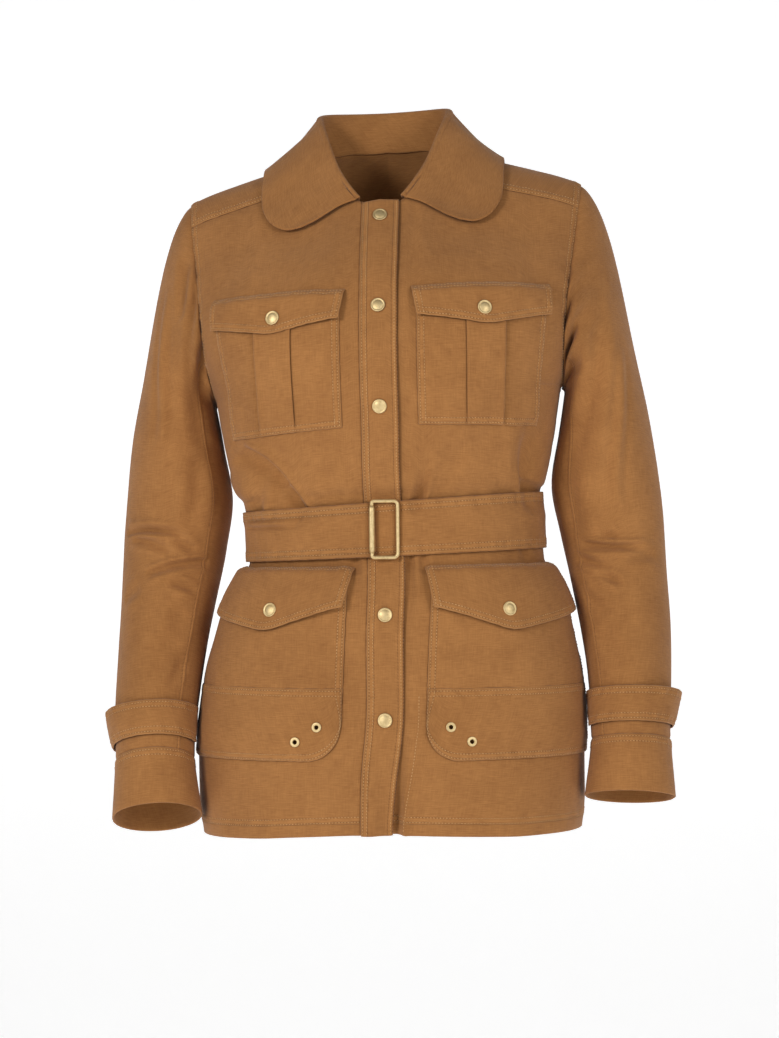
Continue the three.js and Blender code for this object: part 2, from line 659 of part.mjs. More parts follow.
// Armhole loop of a sleeve by angle: 0 shoulder point, 90 front, 180 underarm, 270 back.
const loopTables = new Map();
function loopRows(behind) {
  if (!loopTables.has(behind)) {
    const rows = [];
    let run = 0;
    let before = null;
    for (const s of steps(90)) {
      const omega = 90 * (1 - s);
      const v = CHEST_Z + ARCH * Math.sin(rad(omega));
      const theta = armholeTheta(v, behind);
      const p = torsoPoint(theta, v);
      if (before) run += Math.hypot(...sub(p, before));
      before = p;
      rows.push({ run, theta, v });
    }
    loopTables.set(behind, rows.map((r) => ({ ...r, run: r.run / run })));
  }
  return loopTables.get(behind);
}
function armholeLoop(phi, out = 0) {
  const turn = ((phi % 360) + 360) % 360;
  const behind = turn > 180;
  const run = (behind ? 360 - turn : turn) / 180;
  const rows = loopRows(behind);
  const theta = lookup(rows, "run", "theta", run);
  const v = lookup(rows, "run", "v", run);
  return torso(theta, Math.min(v, -0.3), out);
}

// Ring of the sleeve tube (r counts the rows of its table) for side 1 or -1, unmirrored.
function ringPoint(side, phi, r) {
  const rows = SLEEVE_RINGS.map((ring, i) => ({ i, ...ring }));
  const at = (column) => lookup(rows, "i", column, r);
  const y = at(side < 0 ? "yR" : "yL");
  const pitch = rad(at(side < 0 ? "pitchR" : "pitchL"));
  const centre = [(at("inX") + at("outX")) / 2, y, (at("inZ") + at("outZ")) / 2];
  const across = [(at("outX") - at("inX")) / 2, 0, (at("outZ") - at("inZ")) / 2];
  const forward = [0, -at("depth") * Math.cos(pitch), at("depth") * Math.sin(pitch)];
  const c = Math.cos(rad(phi));
  const s = Math.sin(rad(phi));
  return add(centre, add(mul(across, c), mul(forward, s)));
}

// Sleeve surface: w from -1 (armhole) to 0 (first ring) is the cap, then the rings.
function sleevePoint(side, phi, w) {
  if (w >= 0) return ringPoint(side, phi, w);
  const t = w + 1;
  const start = armholeLoop(phi);
  const end = ringPoint(side, phi, 0);
  const chord = Math.hypot(...sub(end, start));
  const c = Math.cos(rad(phi));
  const s = Math.sin(rad(phi));
  const leave = unit([0.62 + 0.18 * c * c, -0.5 * s, -0.6 + 0.1 * Math.max(-c, 0)]);
  const arrive = unit(sub(ringPoint(side, phi, 0.2), end));
  const m0 = mul(leave, chord * 0.63);
  const m1 = mul(arrive, chord * 1.05);
  return add(
    add(mul(start, 2 * t ** 3 - 3 * t ** 2 + 1), mul(m0, t ** 3 - 2 * t ** 2 + t)),
    add(mul(end, 3 * t ** 2 - 2 * t ** 3), mul(m1, t ** 3 - t ** 2)),
  );
}
function sleeve(side, phi, w, out = 0) {
  const wide = 2;
  const e = 0.02;
  const low = Math.max(w - e, -0.999);
  const high = Math.min(w + e, SLEEVE_RINGS.length - 1.001);
  const p = sleevePoint(side, phi, w);
  const dphi = sub(sleevePoint(side, phi + wide, w), sleevePoint(side, phi - wide, w));
  const dw = sub(sleevePoint(side, phi, high), sleevePoint(side, phi, low));
  let n = unit(cross(dphi, dw));
  const centre = mul(add(ringPoint(side, 0, Math.max(w, 0)), ringPoint(side, 180, Math.max(w, 0))), 0.5);
  if (w >= 0 && dot(n, sub(p, centre)) < 0) n = mul(n, -1);
  if (w < 0) {
    const seamNormal = unit(sub(armholeLoop(phi, 1), armholeLoop(phi, 0)));
    const own = dot(n, [0.3 + Math.cos(rad(phi)), -Math.sin(rad(phi)), 0.1]) < 0 ? mul(n, -1) : n;
    const under = ease((0.2 - Math.cos(rad(phi))) / 1.1);
    const share = mix(ease((w + 1) / 0.3), 1, under);
    n = unit(add(mul(seamNormal, 1 - share), mul(own, share)));
  }
  return add(p, mul(n, out));
}
const mirrorTo = (side) => (p) => standSleeve([p[0] * side, p[1], p[2]]);

const CAP_ROWS = [-1, -0.85, -0.65, -0.43, -0.2];
const TUBE_ROWS = [0, 0.6, 1.3, 2, 2.6, 3.2, 4, 5, 6, 7, CUFF_RING - 0.012];
function sleevePanel(side, from, to, count) {
  const outer = [];
  const inner = [];
  for (const phi of steps(count, from, to)) {
    outer.push([]);
    inner.push([]);
    for (const w of [...CAP_ROWS, ...TUBE_ROWS]) {
      outer[outer.length - 1].push(sleeve(side, phi, w));
      inner[inner.length - 1].push(sleeve(side, phi, w, -CLOTH));
    }
  }
  return wall(outer, inner, mirrorTo(side));
}
function cuff(side) {
  const outer = [];
  const inner = [];
  for (const w of [CUFF_RING, CUFF_RING + 0.5, CUFF_END_RING]) {
    outer.push([]);
    inner.push([]);
    for (const phi of steps(20, 0, 360).slice(0, -1)) {
      outer[outer.length - 1].push(sleeve(side, phi, w, 0.4));
      inner[inner.length - 1].push(sleeve(side, phi, w, 0.4 - DOUBLED));
    }
  }
  return wall(outer, inner, mirrorTo(side), true);
}
function sleeveStrap(side) {
  const outer = [];
  const inner = [];
  for (const phi of steps(16, STRAP.from, STRAP.to)) {
    outer.push([]);
    inner.push([]);
    for (const s of [0, 0.5, 1]) {
      const w = mix(STRAP.bottom, STRAP.top, s);
      const proud = STRAP.standOff * s * Math.max(Math.cos(rad(phi)), 0) ** 2;
      const out = STRAP.gap + proud;
      outer[outer.length - 1].push(sleeve(side, phi, w, out + DOUBLED));
      inner[inner.length - 1].push(sleeve(side, phi, w, out));
    }
  }
  return wall(outer, inner, mirrorTo(side));
}

// Patch on the front: rows from bottom to top for each distance u, with its height off
// the panel.
function patch(side, us, rowsAt, outAt, thick, leanAt = () => 0) {
  const outer = [];
  const inner = [];
  for (const u of us) {
    outer.push([]);
    inner.push([]);
    for (const z of rowsAt(u)) {
      const out = outAt(u, z);
      const at = u + leanAt(u, z);
      outer[outer.length - 1].push(onBody(side, at, z, out + thick));
      inner[inner.length - 1].push(onBody(side, at, z, out));
    }
  }
  return wall(outer, inner, stand);
}
function chestPocket(side) {
  const { inner, outer, top, bottomInner, bottomOuter } = CHEST_POCKET;
  const edge = 0.9;
  const us = [
    inner,
    mix(inner, PLEAT.inner, 0.5),
    PLEAT.inner - edge,
    PLEAT.inner + edge,
    mix(PLEAT.inner, PLEAT.outer, 0.5),
    PLEAT.outer - edge,
    PLEAT.outer + edge,
    mix(PLEAT.outer, outer, 0.5),
    outer,
  ];
  const rowsAt = (u) => {
    const low = mix(bottomInner, bottomOuter, (u - inner) / (outer - inner));
    return [0, 0.1, 0.35, 0.6, 0.8, 1].map((s) => mix(low, top, s));
  };
  const outAt = (u, z) => {
    const low = mix(bottomInner, bottomOuter, (u - inner) / (outer - inner));
    const raised = u > PLEAT.inner && u < PLEAT.outer ? PLEAT.rise : 0;
    return LAID_GAP + raised * ease((z - low) / 10);
  };
  return patch(side, us, rowsAt, outAt, CLOTH);
}

// Lower edge of a pointed flap: two nearly straight slopes from its corners to its point.
const FLAP_SLOPE_POWER = 1.2;
const flapEdge = (u, inner, outer, cornerInner, cornerOuter, point, pointAt) =>
  u < pointAt
    ? mix(cornerInner, point, ((u - inner) / (pointAt - inner)) ** FLAP_SLOPE_POWER)
    : mix(cornerOuter, point, ((outer - u) / (outer - pointAt)) ** FLAP_SLOPE_POWER);
function chestFlap(side) {
  const { inner, lean, outer, top, corner, point, pointAt } = CHEST_FLAP;
  const us = [inner, 50, 68, 86, pointAt, 121, 140, 158, outer];
  const rowsAt = (u) => {
    const low = flapEdge(u, inner, outer, corner, corner, point, pointAt);
    return [0, 0.33, 0.66, 0.86, 1].map((s) => mix(low, top, s));
  };
  const lie = LAID_GAP + CLOTH + PLEAT.rise + LAID_GAP;
  const outAt = (u, z) => mix(LAID_GAP, lie, ease((top - z) / 7));
  const leanAt = (u, z) => (lean * (top - z) * ((outer - u) / (outer - inner)) ** 2) / (top - corner);
  return patch(side, us, rowsAt, outAt, DOUBLED - 0.2, leanAt);
}

// Outer edge of the lower pocket, just short of the side seam.
const pocketEdge = (z) => uOfTheta(z, 90, "level") - LOWER_POCKET.sideGap;
const pocketBulge = (share, z) => {
  const { top, bottom, bulge } = LOWER_POCKET;
  const across = Math.sin(Math.PI * clamp(share, 0, 1)) ** 0.7;
  const down = clamp((z - bottom) / 30, 0, 1) * clamp((top + 25 - z) / 40, 0, 1);
  return LAID_GAP + bulge * across * Math.sqrt(down);
};
function pocketPiece(side, shares, rowsAt) {
  const { inner } = LOWER_POCKET;
  const outer = [];
  const innerGrid = [];
  for (const share of shares) {
    outer.push([]);
    innerGrid.push([]);
    for (const z of rowsAt(share)) {
      const u = mix(inner, pocketEdge(z), share);
      const out = pocketBulge(share, z);
      outer[outer.length - 1].push(onBody(side, u, z, out + CLOTH));
      innerGrid[innerGrid.length - 1].push(onBody(side, u, z, out));
    }
  }
  return wall(outer, innerGrid, stand);
}
function lowerPocket(side) {
  const { top, seam } = LOWER_POCKET;
  const shares = [0, 0.1, 0.22, 0.34, 0.46, 0.58, 0.68, 0.78, 0.86, 0.93, 1];
  return pocketPiece(side, shares, () => steps(4, seam + SEAM_GAP / 2, top));
}
function pocketBase(side) {
  const { inner, seam, bottom, corner } = LOWER_POCKET;
  const wide = pocketEdge(bottom) - inner;
  const shares = [0, 0.02, 0.07, 0.12, corner / wide, 0.25, 0.34, 0.44, 0.54, 0.63, 0.72, 0.79, 0.86, 0.93, 1];
  const rowsAt = (share) => {
    const along = Math.min((share * wide) / corner, 1);
    const low = bottom + corner * (1 - Math.sqrt(1 - (1 - along) ** 2));
    return [0, 0.33, 0.66, 1].map((s) => mix(low, seam - SEAM_GAP / 2, s));
  };
  let made = toManifold(pocketPiece(side, shares, rowsAt));
  for (const eyelet of EYELETS) {
    const { place } = eyeletPlace(side, eyelet);
    const drill = wasm.Manifold.cylinder(
      12,
      EYELET.barrel + EYELET.clearance,
      EYELET.barrel + EYELET.clearance,
      16,
      true,
    ).transform(place.elements);
    made = made.subtract(drill);
  }
  return fromManifold(made);
}
function lowerFlap(side) {
  const { inner, lean, top, cornerInner, cornerOuter, point, pointAt } = LOWER_FLAP;
  const outer = [];
  const innerGrid = [];
  const shares = [0, 0.12, 0.24, 0.36, 0.48, 0.6, 0.7, 0.8, 0.87, 0.94, 1];
  const reach = pocketEdge(-468) + 1;
  for (const share of shares) {
    const atPoint = mix(inner, reach, share);
    const low = flapEdge(atPoint, inner, reach, cornerInner, cornerOuter, point, pointAt);
    outer.push([]);
    innerGrid.push([]);
    for (const s of [0, 0.33, 0.66, 0.88, 1]) {
      const z = mix(low, top, s);
      const u = mix(inner, pocketEdge(z) + mix(1, -1, s), share) + lean * (1 - s) * (1 - share) ** 2;
      const drop = ease((top - z) / 8);
      const edgeLift = (1 - s) * (share < 0.5 ? 4 * (1 - 2 * share) : 1.5 * (2 * share - 1));
      const under = pocketBulge(share, Math.min(z, LOWER_POCKET.top)) + CLOTH + LAID_GAP + 0.6;
      const out = mix(LAID_GAP, under + edgeLift, drop);
      outer[outer.length - 1].push(onBody(side, u, z, out + DOUBLED - 0.2));
      innerGrid[innerGrid.length - 1].push(onBody(side, u, z, out));
    }
  }
  return wall(outer, innerGrid, stand);
}

// Exchange with manifold-3d for the drilled holes.
function toManifold(geometry) {
  return new wasm.Manifold(
    new wasm.Mesh({
      numProp: 3,
      vertProperties: new Float32Array(geometry.attributes.position.array),
      triVerts: new Uint32Array(geometry.index.array),
    }),
  );
}
function fromManifold(made) {
  const mesh = made.getMesh();
  const geometry = new THREE.BufferGeometry();
  geometry.setAttribute("position", new THREE.Float32BufferAttribute(mesh.vertProperties, 3));
  geometry.setIndex([...mesh.triVerts]);
  geometry.computeVertexNormals();
  return geometry;
}

// Matrix that sets a small piece on three points of a surface: z out, y up.
function placeOn(centre, right, up) {
  const x = unit(sub(right, centre));
  const rough = sub(up, centre);
  const z = unit(cross(x, rough));
  const y = cross(z, x);
  const place = new THREE.Matrix4().makeBasis(
    new THREE.Vector3(...x),
    new THREE.Vector3(...y),
    new THREE.Vector3(...z),
  );
  place.setPosition(...centre);
  return place;
}
const lathe = (profile, segments) =>
  new THREE.LatheGeometry(
    profile.map(([r, h]) => new THREE.Vector2(r, h)),
    segments,
  ).rotateX(Math.PI / 2);
function placed(geometry, place) {
  const flat = geometry.clone();
  flat.deleteAttribute("normal");
  flat.deleteAttribute("uv");
  flat.applyMatrix4(place);
  return flat;
}
function eyeletPlace(side, { at, z }) {
  const share = (at - LOWER_POCKET.inner) / (pocketEdge(z) - LOWER_POCKET.inner);
  const out = pocketBulge(share, z) + CLOTH;
  const centre = stand(onBody(side, at, z, out));
  const right = stand(onBody(side, at + side, z, out));
  const up = stand(onBody(side, at, z + 1, out));
  return { place: placeOn(centre, right, up) };
}
function eyelet(side, row) {
  const { hole, barrel, rim, height } = EYELET;
  const profile = [
    [hole, -CLOTH],
    [barrel, -CLOTH],
    [barrel, SEAM_GAP],
    [rim, SEAM_GAP],
    [rim - 0.9, height + SEAM_GAP],
    [hole + 0.6, height + SEAM_GAP],
    [hole, SEAM_GAP],
    [hole, -CLOTH],
  ];
  return placed(lathe(profile, 14), eyeletPlace(side, row).place);
}
function snapAt(centre, right, up) {
  const { radius, rim, dome } = SNAP;
  const base = SEAM_GAP;
  const profile = [
    [0, base],
    [radius - 0.5, base],
    [radius, base + rim * 0.5],
    [radius - 0.7, base + rim],
    [radius - 2.6, base + rim + dome * 0.65],
    [0, base + rim + dome],
  ];
  return placed(lathe(profile, 16), placeOn(centre, right, up));
}
function frontSnap({ z }) {
  const at = (dx, dz) => {
    const theta = thetaOfU(z, placketX(z) + dx, "level");
    return stand(torso(theta, vOfZ(theta, z + dz), PLACKET.outer + 0.3));
  };
  return snapAt(at(0, 0), at(1, 0), at(0, 1));
}
function pocketSnap(side, { at, z }, out) {
  const p = (du, dz) => stand(onBody(side, at + du * side, z + dz, out));
  return snapAt(p(0, 0), p(1, 0), p(0, 1));
}

// Belt: one strap drawn as a path of distance round the body and height off it.
function beltGirth() {
  return 2 * uOfTheta(BELT.z, 180, "level");
}
function belt() {
  const round = beltGirth();
  const low = BELT.inner + BELT.thick / 2;
  const high = low + BELT.layer;
  const overPlacket = (u) => 1.2 * ease((38 - Math.abs(u + 3)) / 14);
  const path = [];
  for (const u of [BELT.tip, -90, -72, -54, -40, -32, -24, -12, 0, 12, 20, 27, 35, 44])
    path.push([u, low + overPlacket(u)]);
  for (const u of steps(34, 60, round - 172)) path.push([u, low]);
  for (const s of steps(3)) path.push([mix(round - 158, round - 122, s), mix(low, high, ease(s))]);
  for (const u of [-104, -88, -70, -52, -40, -32, -24, BUCKLE.x - BUCKLE.width / 2 + 5])
    path.push([round + u, high + overPlacket(u)]);
  return beltFromPath(path, round);
}
function beltFromPath(path, round) {
  const offsets = path.map((point, i) => {
    const a = path[Math.max(i - 1, 0)];
    const b = path[Math.min(i + 1, path.length - 1)];
    const length = Math.hypot(b[0] - a[0], b[1] - a[1]);
    return [-(b[1] - a[1]) / length, (b[0] - a[0]) / length];
  });
  const place = (u, h, dz) => {
    const turn = u > round / 2 ? u - round : u;
    const theta = thetaOfU(BELT.z, turn, "level");
    const x = torsoPoint(theta, BELT.z)[0];
    const z = BELT.z + dz + BELT.extraTilt * x;
    return torso(theta, z, h);
  };
  const outer = [];
  const inner = [];
  path.forEach(([u, h], i) => {
    outer.push([]);
    inner.push([]);
    for (const dz of [-BELT.width / 2, 0, BELT.width / 2]) {
      const half = BELT.thick / 2;
      outer[i].push(place(u + offsets[i][0] * half, h + offsets[i][1] * half, dz));
      inner[i].push(place(u - offsets[i][0] * half, h - offsets[i][1] * half, dz));
    }
  });
  return wall(outer, inner, stand);
}

// Buckle: a rounded rectangular frame with a thicker bar on the wearer's right.
function buckle() {
  const { x, width, height, bar, wire, corner } = BUCKLE;
  const halfWide = width / 2 - wire;
  const halfHigh = height / 2 - wire;
  const leftAt = -width / 2 + bar;
  const path = [];
  const put = (px, pz, r) => path.push({ px, pz, r });
  put(leftAt, -halfHigh + corner, bar);
  put(leftAt, halfHigh - corner, bar);
  put(leftAt + 0.6, halfHigh - 1, wire);
  put(leftAt + corner, halfHigh, wire);
  put(halfWide - corner, halfHigh, wire);
  put(halfWide - corner * 0.3, halfHigh - corner * 0.3, wire);
  put(halfWide, halfHigh - corner, wire);
  put(halfWide, -halfHigh + corner, wire);
  put(halfWide - corner * 0.3, -halfHigh + corner * 0.3, wire);
  put(halfWide - corner, -halfHigh, wire);
  put(leftAt + corner, -halfHigh, wire);
  put(leftAt + 0.6, -halfHigh + 1, wire);
  const centreTheta = thetaOfU(BELT.z, x, "level");
  const at = (dx, dz) => {
    const theta = thetaOfU(BELT.z, x + dx, "level");
    return stand(torso(theta, BELT.z + dz, 0));
  };
  const origin = stand(torso(centreTheta, BELT.z + BELT.extraTilt * x, 0));
  const tilt = rad(0.6);
  const frame = placeOn(origin, add(origin, [Math.cos(tilt), 0, Math.sin(tilt)]), at(0, 30));
  const rings = 8;
  const points = [];
  path.forEach((node, i) => {
    const before = path[(i + path.length - 1) % path.length];
    const after = path[(i + 1) % path.length];
    const dir = unit([after.px - before.px, after.pz - before.pz, 0]);
    const side = [-dir[1], dir[0], 0];
    for (let k = 0; k < rings; k += 1) {
      const turn = (2 * Math.PI * (k + 0.5)) / rings;
      const p = new THREE.Vector3(
        node.px + side[0] * node.r * Math.cos(turn),
        node.pz + side[1] * node.r * Math.cos(turn),
        mix(BUCKLE.left, BUCKLE.right, node.px / width + 0.5) + node.r * Math.sin(turn),
      ).applyMatrix4(frame);
      points.push([p.x, p.y, p.z]);
    }
  });
  const faces = [];
  const n = path.length;
  for (let i = 0; i < n; i += 1)
    for (let k = 0; k < rings; k += 1) {
      const a = i * rings + k;
      const b = i * rings + ((k + 1) % rings);
      const c = ((i + 1) % n) * rings + ((k + 1) % rings);
      const d = ((i + 1) % n) * rings + k;
      faces.push(a, b, c, a, c, d);
    }
  return solid(points, faces);
}

const jacket = new THREE.Group();
jacket.name = "safari_jacket";
function put(name, geometry, look) {
  const { colour, roughness, metalness } = COLOURS[look];
  const material = new THREE.MeshStandardMaterial({ color: colour, roughness, metalness });
  const mesh = new THREE.Mesh(geometry, material);
  mesh.name = name;
  jacket.add(mesh);
}

put("front_right", frontPanel(-1), "cloth");
put("front_left", frontPanel(1), "cloth");
put("back", backPanel(), "cloth");
put("yoke", yoke(), "cloth");
put("placket", placket(), "cloth");
put("collar", collar(), "cloth");
const SEAM_TURN = 0.25;
for (const [side, name] of [
  [-1, "right"],
  [1, "left"],
]) {
  put(
    "sleeve_upper_" + name,
    sleevePanel(side, SLEEVE_BACK_SEAM - 360 + SEAM_TURN, SLEEVE_FRONT_SEAM - SEAM_TURN, 14),
    "cloth",
  );
  put(
    "sleeve_under_" + name,
    sleevePanel(side, SLEEVE_FRONT_SEAM + SEAM_TURN, SLEEVE_BACK_SEAM - SEAM_TURN, 6),
    "cloth",
  );
  put("cuff_" + name, cuff(side), "cloth");
  put("sleeve_strap_" + name, sleeveStrap(side), "cloth");
  put("chest_pocket_" + name, chestPocket(side), "cloth");
  put("chest_flap_" + name, chestFlap(side), "cloth");
  put("lower_pocket_" + name, lowerPocket(side), "cloth");
  put("pocket_base_" + name, pocketBase(side), "cloth");
  put("lower_flap_" + name, lowerFlap(side), "cloth");
  const flapTop = LAID_GAP * 2 + CLOTH + PLEAT.rise + DOUBLED - 0.2;
  put("snap_chest_" + name, pocketSnap(side, CHEST_SNAP, flapTop), "brass");
  const share =
    (LOWER_SNAP.at - LOWER_POCKET.inner) / (pocketEdge(LOWER_SNAP.z) - LOWER_POCKET.inner);
  const lowerTop = pocketBulge(share, LOWER_SNAP.z) + CLOTH + LAID_GAP + DOUBLED - 0.2 + 0.95;
  put("snap_lower_" + name, pocketSnap(side, LOWER_SNAP, lowerTop), "brass");
  EYELETS.forEach((row, i) => put("eyelet_" + name + "_" + (i + 1), eyelet(side, row), "brass"));
}
put("belt", belt(), "cloth");
put("buckle", buckle(), "brass");
FRONT_SNAPS.forEach((row, i) => put("snap_front_" + (i + 1), frontSnap(row), "brass"));

export default jacket;
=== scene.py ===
"""Belted safari jacket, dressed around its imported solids.

Each cloth piece is a thin shell worked out from the jacket's own sizes, with folds, puckers and
turned edges, and each row of topstitching is laid on the shell that it holds. Cloth is measured
in millimetres; a mesh gets metres. +Z is up, -Y is the front, +X is the wearer's left.
"""

import math

import bpy
import numpy as np
from bpy.props import FloatProperty, FloatVectorProperty, PointerProperty
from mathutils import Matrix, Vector


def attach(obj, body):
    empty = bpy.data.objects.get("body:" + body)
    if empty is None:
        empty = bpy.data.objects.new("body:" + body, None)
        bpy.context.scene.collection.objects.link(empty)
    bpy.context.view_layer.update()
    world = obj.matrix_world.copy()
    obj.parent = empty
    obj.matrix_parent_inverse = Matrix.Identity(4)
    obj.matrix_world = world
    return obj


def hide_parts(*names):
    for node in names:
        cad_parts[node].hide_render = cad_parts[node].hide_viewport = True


bl_info = {
    "name": "Safari jacket",
    "version": (1, 0, 0),
    "blender": (4, 5, 0),
    "location": "View3D > Sidebar > Jacket",
    "description": "Dresses the packed safari jacket in cloth, stitching and brass",
    "category": "Object",
}

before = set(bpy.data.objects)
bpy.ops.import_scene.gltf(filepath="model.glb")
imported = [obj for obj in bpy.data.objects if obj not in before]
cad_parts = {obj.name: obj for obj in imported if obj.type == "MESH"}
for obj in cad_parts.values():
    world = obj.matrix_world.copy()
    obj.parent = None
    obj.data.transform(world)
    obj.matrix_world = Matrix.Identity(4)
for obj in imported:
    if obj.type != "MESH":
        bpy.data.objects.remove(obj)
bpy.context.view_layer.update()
MM = 0.001
SIDES = ((-1, "right"), (1, "left"))


class Table:
    """Rows of named columns; at() reads one column at a key by a cubic that never overshoots."""

    def __init__(self, names, *rows):
        self.names = names.split()
        self.rows = np.array(rows, float)

    def at(self, name, key):
        x = self.rows[:, 0]
        y = self.rows[:, self.names.index(name)]
        slope = np.diff(y) / np.diff(x)
        product = slope[:-1] * slope[1:]
        total = np.where(product > 0, slope[:-1] + slope[1:], 1)
        middle = np.where(product > 0, 2 * product / total, 0)
        tangent = np.concatenate([slope[:1], middle, slope[-1:]])
        key = np.clip(key, x[0], x[-1])
        i = np.clip(np.searchsorted(x, key) - 1, 0, len(x) - 2)
        h = x[i + 1] - x[i]
        t = (key - x[i]) / h
        return (
            (2 * t**3 - 3 * t**2 + 1) * y[i]
            + (t**3 - 2 * t**2 + t) * h * tangent[i]
            + (3 * t**2 - 2 * t**3) * y[i + 1]
            + (t**3 - t**2) * h * tangent[i + 1]
        )

    def column(self, name):
        return self.rows[:, self.names.index(name)]


# Shape of the torso, in millimetres, as in the part's solids.
CHEST_ROUNDNESS = 2.3
SHOULDER_ROUNDNESS = 3.1
SHOULDER_RISE = 120
CHEST_Z = -250
ARCH = 250
RIDGE_Y = 8
FRONT_ARCH_POWER = 1.3
BACK_ARCH_POWER = 2
TORSO = Table(
    "v half_width front back",
    (-712, 192, 133, 127),
    (-657, 198, 135, 130),
    (-606, 198, 134, 131),
    (-564, 195, 131, 130),
    (-530, 190, 129, 127),
    (-503, 183, 127, 122),
    (-461, 172, 121, 110),
    (-432, 158.5, 113.5, 96.5),
    (-421, 151.2, 108.8, 88.8),
    (-399, 150.5, 108.5, 88.5),
    (-377, 150.5, 108.5, 88.5),
    (-355, 151.2, 108.8, 88.8),
    (-345, 157.5, 113.5, 92.5),
    (-330, 162.5, 117, 95),
    (-300, 169, 126, 101),
    (-275, 173, 133, 107),
    (-250, 177, 138, 112),
    (-225, 183, 142, 115.5),
    (-195, 189.5, 146, 118.5),
    (-159, 195, 146, 120),
    (-125, 198.5, 138, 120),
    (-75, 204.5, 118, 114),
    (-25, 210, 112, 106),
    (0, 212, 112, 104),
)
SHOULDER_LINE = Table(
    "x z",
    (0, 25),
    (34, 19),
    (68, 0),
    (112, -14),
    (150, -25),
    (185, -36),
    (200, -43),
    (214, -56),
)
HEM_FRONT_Z = -689
HEM_SIDE_Z = -695
ARMHOLE_WIDTH_SHARE = 0.942
ARMHOLE_TURN = 25
YOKE_SIGMA = 60.1
BACK_YOKE_Z = -112
NECK_HALF_WIDTH = 68
NECK_FRONT_TURN = 46.9
NECK_BACK_TURN = 22
BUST = {"x": 76, "z": -188, "radius": 62, "height": 7}

# Worn stance: how far each height is shifted sideways, and its tilt.
STANCE = Table(
    "z sway tilt",
    (-712, 2.5, 0.02),
    (-620, 1, 0.012),
    (-564, 2.5, 0.006),
    (-500, 4.5, 0.006),
    (-440, 6.5, 0.012),
    (-388, 4.5, 0.03),
    (-359, 1.5, 0.042),
    (-316, -0.87, 0.045),
    (-250, -2.15, 0.045),
    (-100, -5.06, 0.045),
    (60, -8.2, 0.045),
)
SLEEVE_SWAY_TOP = -7
SLEEVE_SWAY_PER_MM = -13 / 670
SLEEVE_TILT = 0.045

PLACKET_HALF = 17.8
PLACKET_LINE = Table(
    "z x",
    (-712, -5),
    (-640, -3),
    (-576, 1),
    (-473, -2.5),
    (-388, -3),
    (-266, 0),
    (-40, 0),
)
PLACKET_RISE = 1.7
UNDERLAP = 16.5
UNDERLAP_SINK = 1.7

COLLAR = Table(
    "alpha roll_x roll_y roll_z edge_x edge_z",
    (19, 23, -69, -53, 79, -84),
    (28, 31, -62, -42, 92, -86),
    (37, 38, -54, -31, 105, -81),
    (46, 45, -44, -19, 114.5, -71),
    (56, 51.5, -33, -4, 120, -58),
    (68, 58.5, -18, 15, 121.5, -43),
    (80, 64.5, -1, 31, 121.5, -28),
    (95, 67.5, 17, 41, 120.5, -20),
    (112, 62.5, 33, 45, 112, -31),
    (130, 50, 46, 46.5, 90, -38),
    (150, 30, 56, 47, 54, -41),
    (180, 0, 61, 47, 0, -42),
)
COLLAR_ROLL = 2.8
COLLAR_LIFT = 3.9
COLLAR_FALL_POWER = 1.15
COLLAR_THICK = 2.2

SLEEVE = Table(
    "ring in_x in_z out_x out_z depth y_right y_left pitch_right pitch_left",
    (0, 179.5, -258, 254.5, -225, 62, 6, 6, 0, 0),
    (1, 173, -300, 267, -286, 61, 13, 13, 0, 0),
    (2, 166, -350, 275, -343, 58, 19, 20, 2, 1),
    (3, 173.5, -400, 280, -397, 54, 17, 20, 5, 3),
    (4, 183, -450, 282, -448, 51, 4, 10, 9, 5),
    (5, 192, -500, 283.5, -500, 49, -14, -4, 13, 8),
    (6, 198, -545, 283, -548, 47, -34, -20, 17, 10),
    (7, 201, -585, 281.5, -588, 45.5, -50, -32, 20, 12),
    (8, 201, -611, 281, -614, 45, -57, -36, 21.5, 12.5),
    (9, 194, -666, 284, -671, 45.5, -66, -41, 23.5, 13.4),
)
SLEEVE_FRONT_SEAM = 136
SLEEVE_BACK_SEAM = 235
CUFF_RING = 8
STRAP = {"top": 6.42, "bottom": 7.48, "from": -118, "to": 172, "stand_off": 7.5, "gap": 1.4}

CHEST_POCKET = {"inner": 38, "outer": 173, "top": -162, "bottom_inner": -285.5, "bottom_outer": -292}
PLEAT = {"inner": 86, "outer": 124, "rise": 1.5}
CHEST_FLAP = {
    "inner": 33,
    "outer": 176,
    "lean": 5.5,
    "top": -151,
    "corner_inner": -181,
    "corner_outer": -181,
    "point": -192,
    "point_at": 103,
}
CHEST_SNAP = (103, -177)
LOWER_POCKET = {
    "inner": 42,
    "side_gap": 3,
    "top": -441,
    "seam": -546.5,
    "bottom": -617,
    "corner": 36,
    "bulge": 4,
}
LOWER_FLAP = {
    "inner": 35,
    "lean": 10,
    "top": -425,
    "corner_inner": -466,
    "corner_outer": -472,
    "point": -490,
    "point_at": 116.5,
}
FLAP_SLOPE_POWER = 1.2
LOWER_SNAP = (118.5, -469.5)
EYELETS = ((66, -583.5), (87, -598))
# Heights of laid cloth over the body: a pocket's face, and the flap over it.
CHEST_POCKET_RISE = 2.2
LOWER_POCKET_RISE = 1.2
CHEST_FLAP_RISE = CHEST_POCKET_RISE + 1.2 + PLEAT["rise"] + 1.2
LOWER_FLAP_FACE = 1.6
SNAP_SINK = 0.7
BELT = {"z": -388, "width": 53, "thick": 2, "inner": 1.8, "layer": 2.4, "tip": -106, "tilt": 0.03}
BUCKLE = {
    "x": -2.6,
    "width": 30.4,
    "height": 59.8,
    "bar": 2.9,
    "wire": 1.95,
    "corner": 4,
    "small_corner": 2.2,
    "left": 10.4,
    "right": 7.8,
    "tilt": 0.6,
}
FRONT_SNAPS = (-74, -168, -266.5, -473, -576.5)

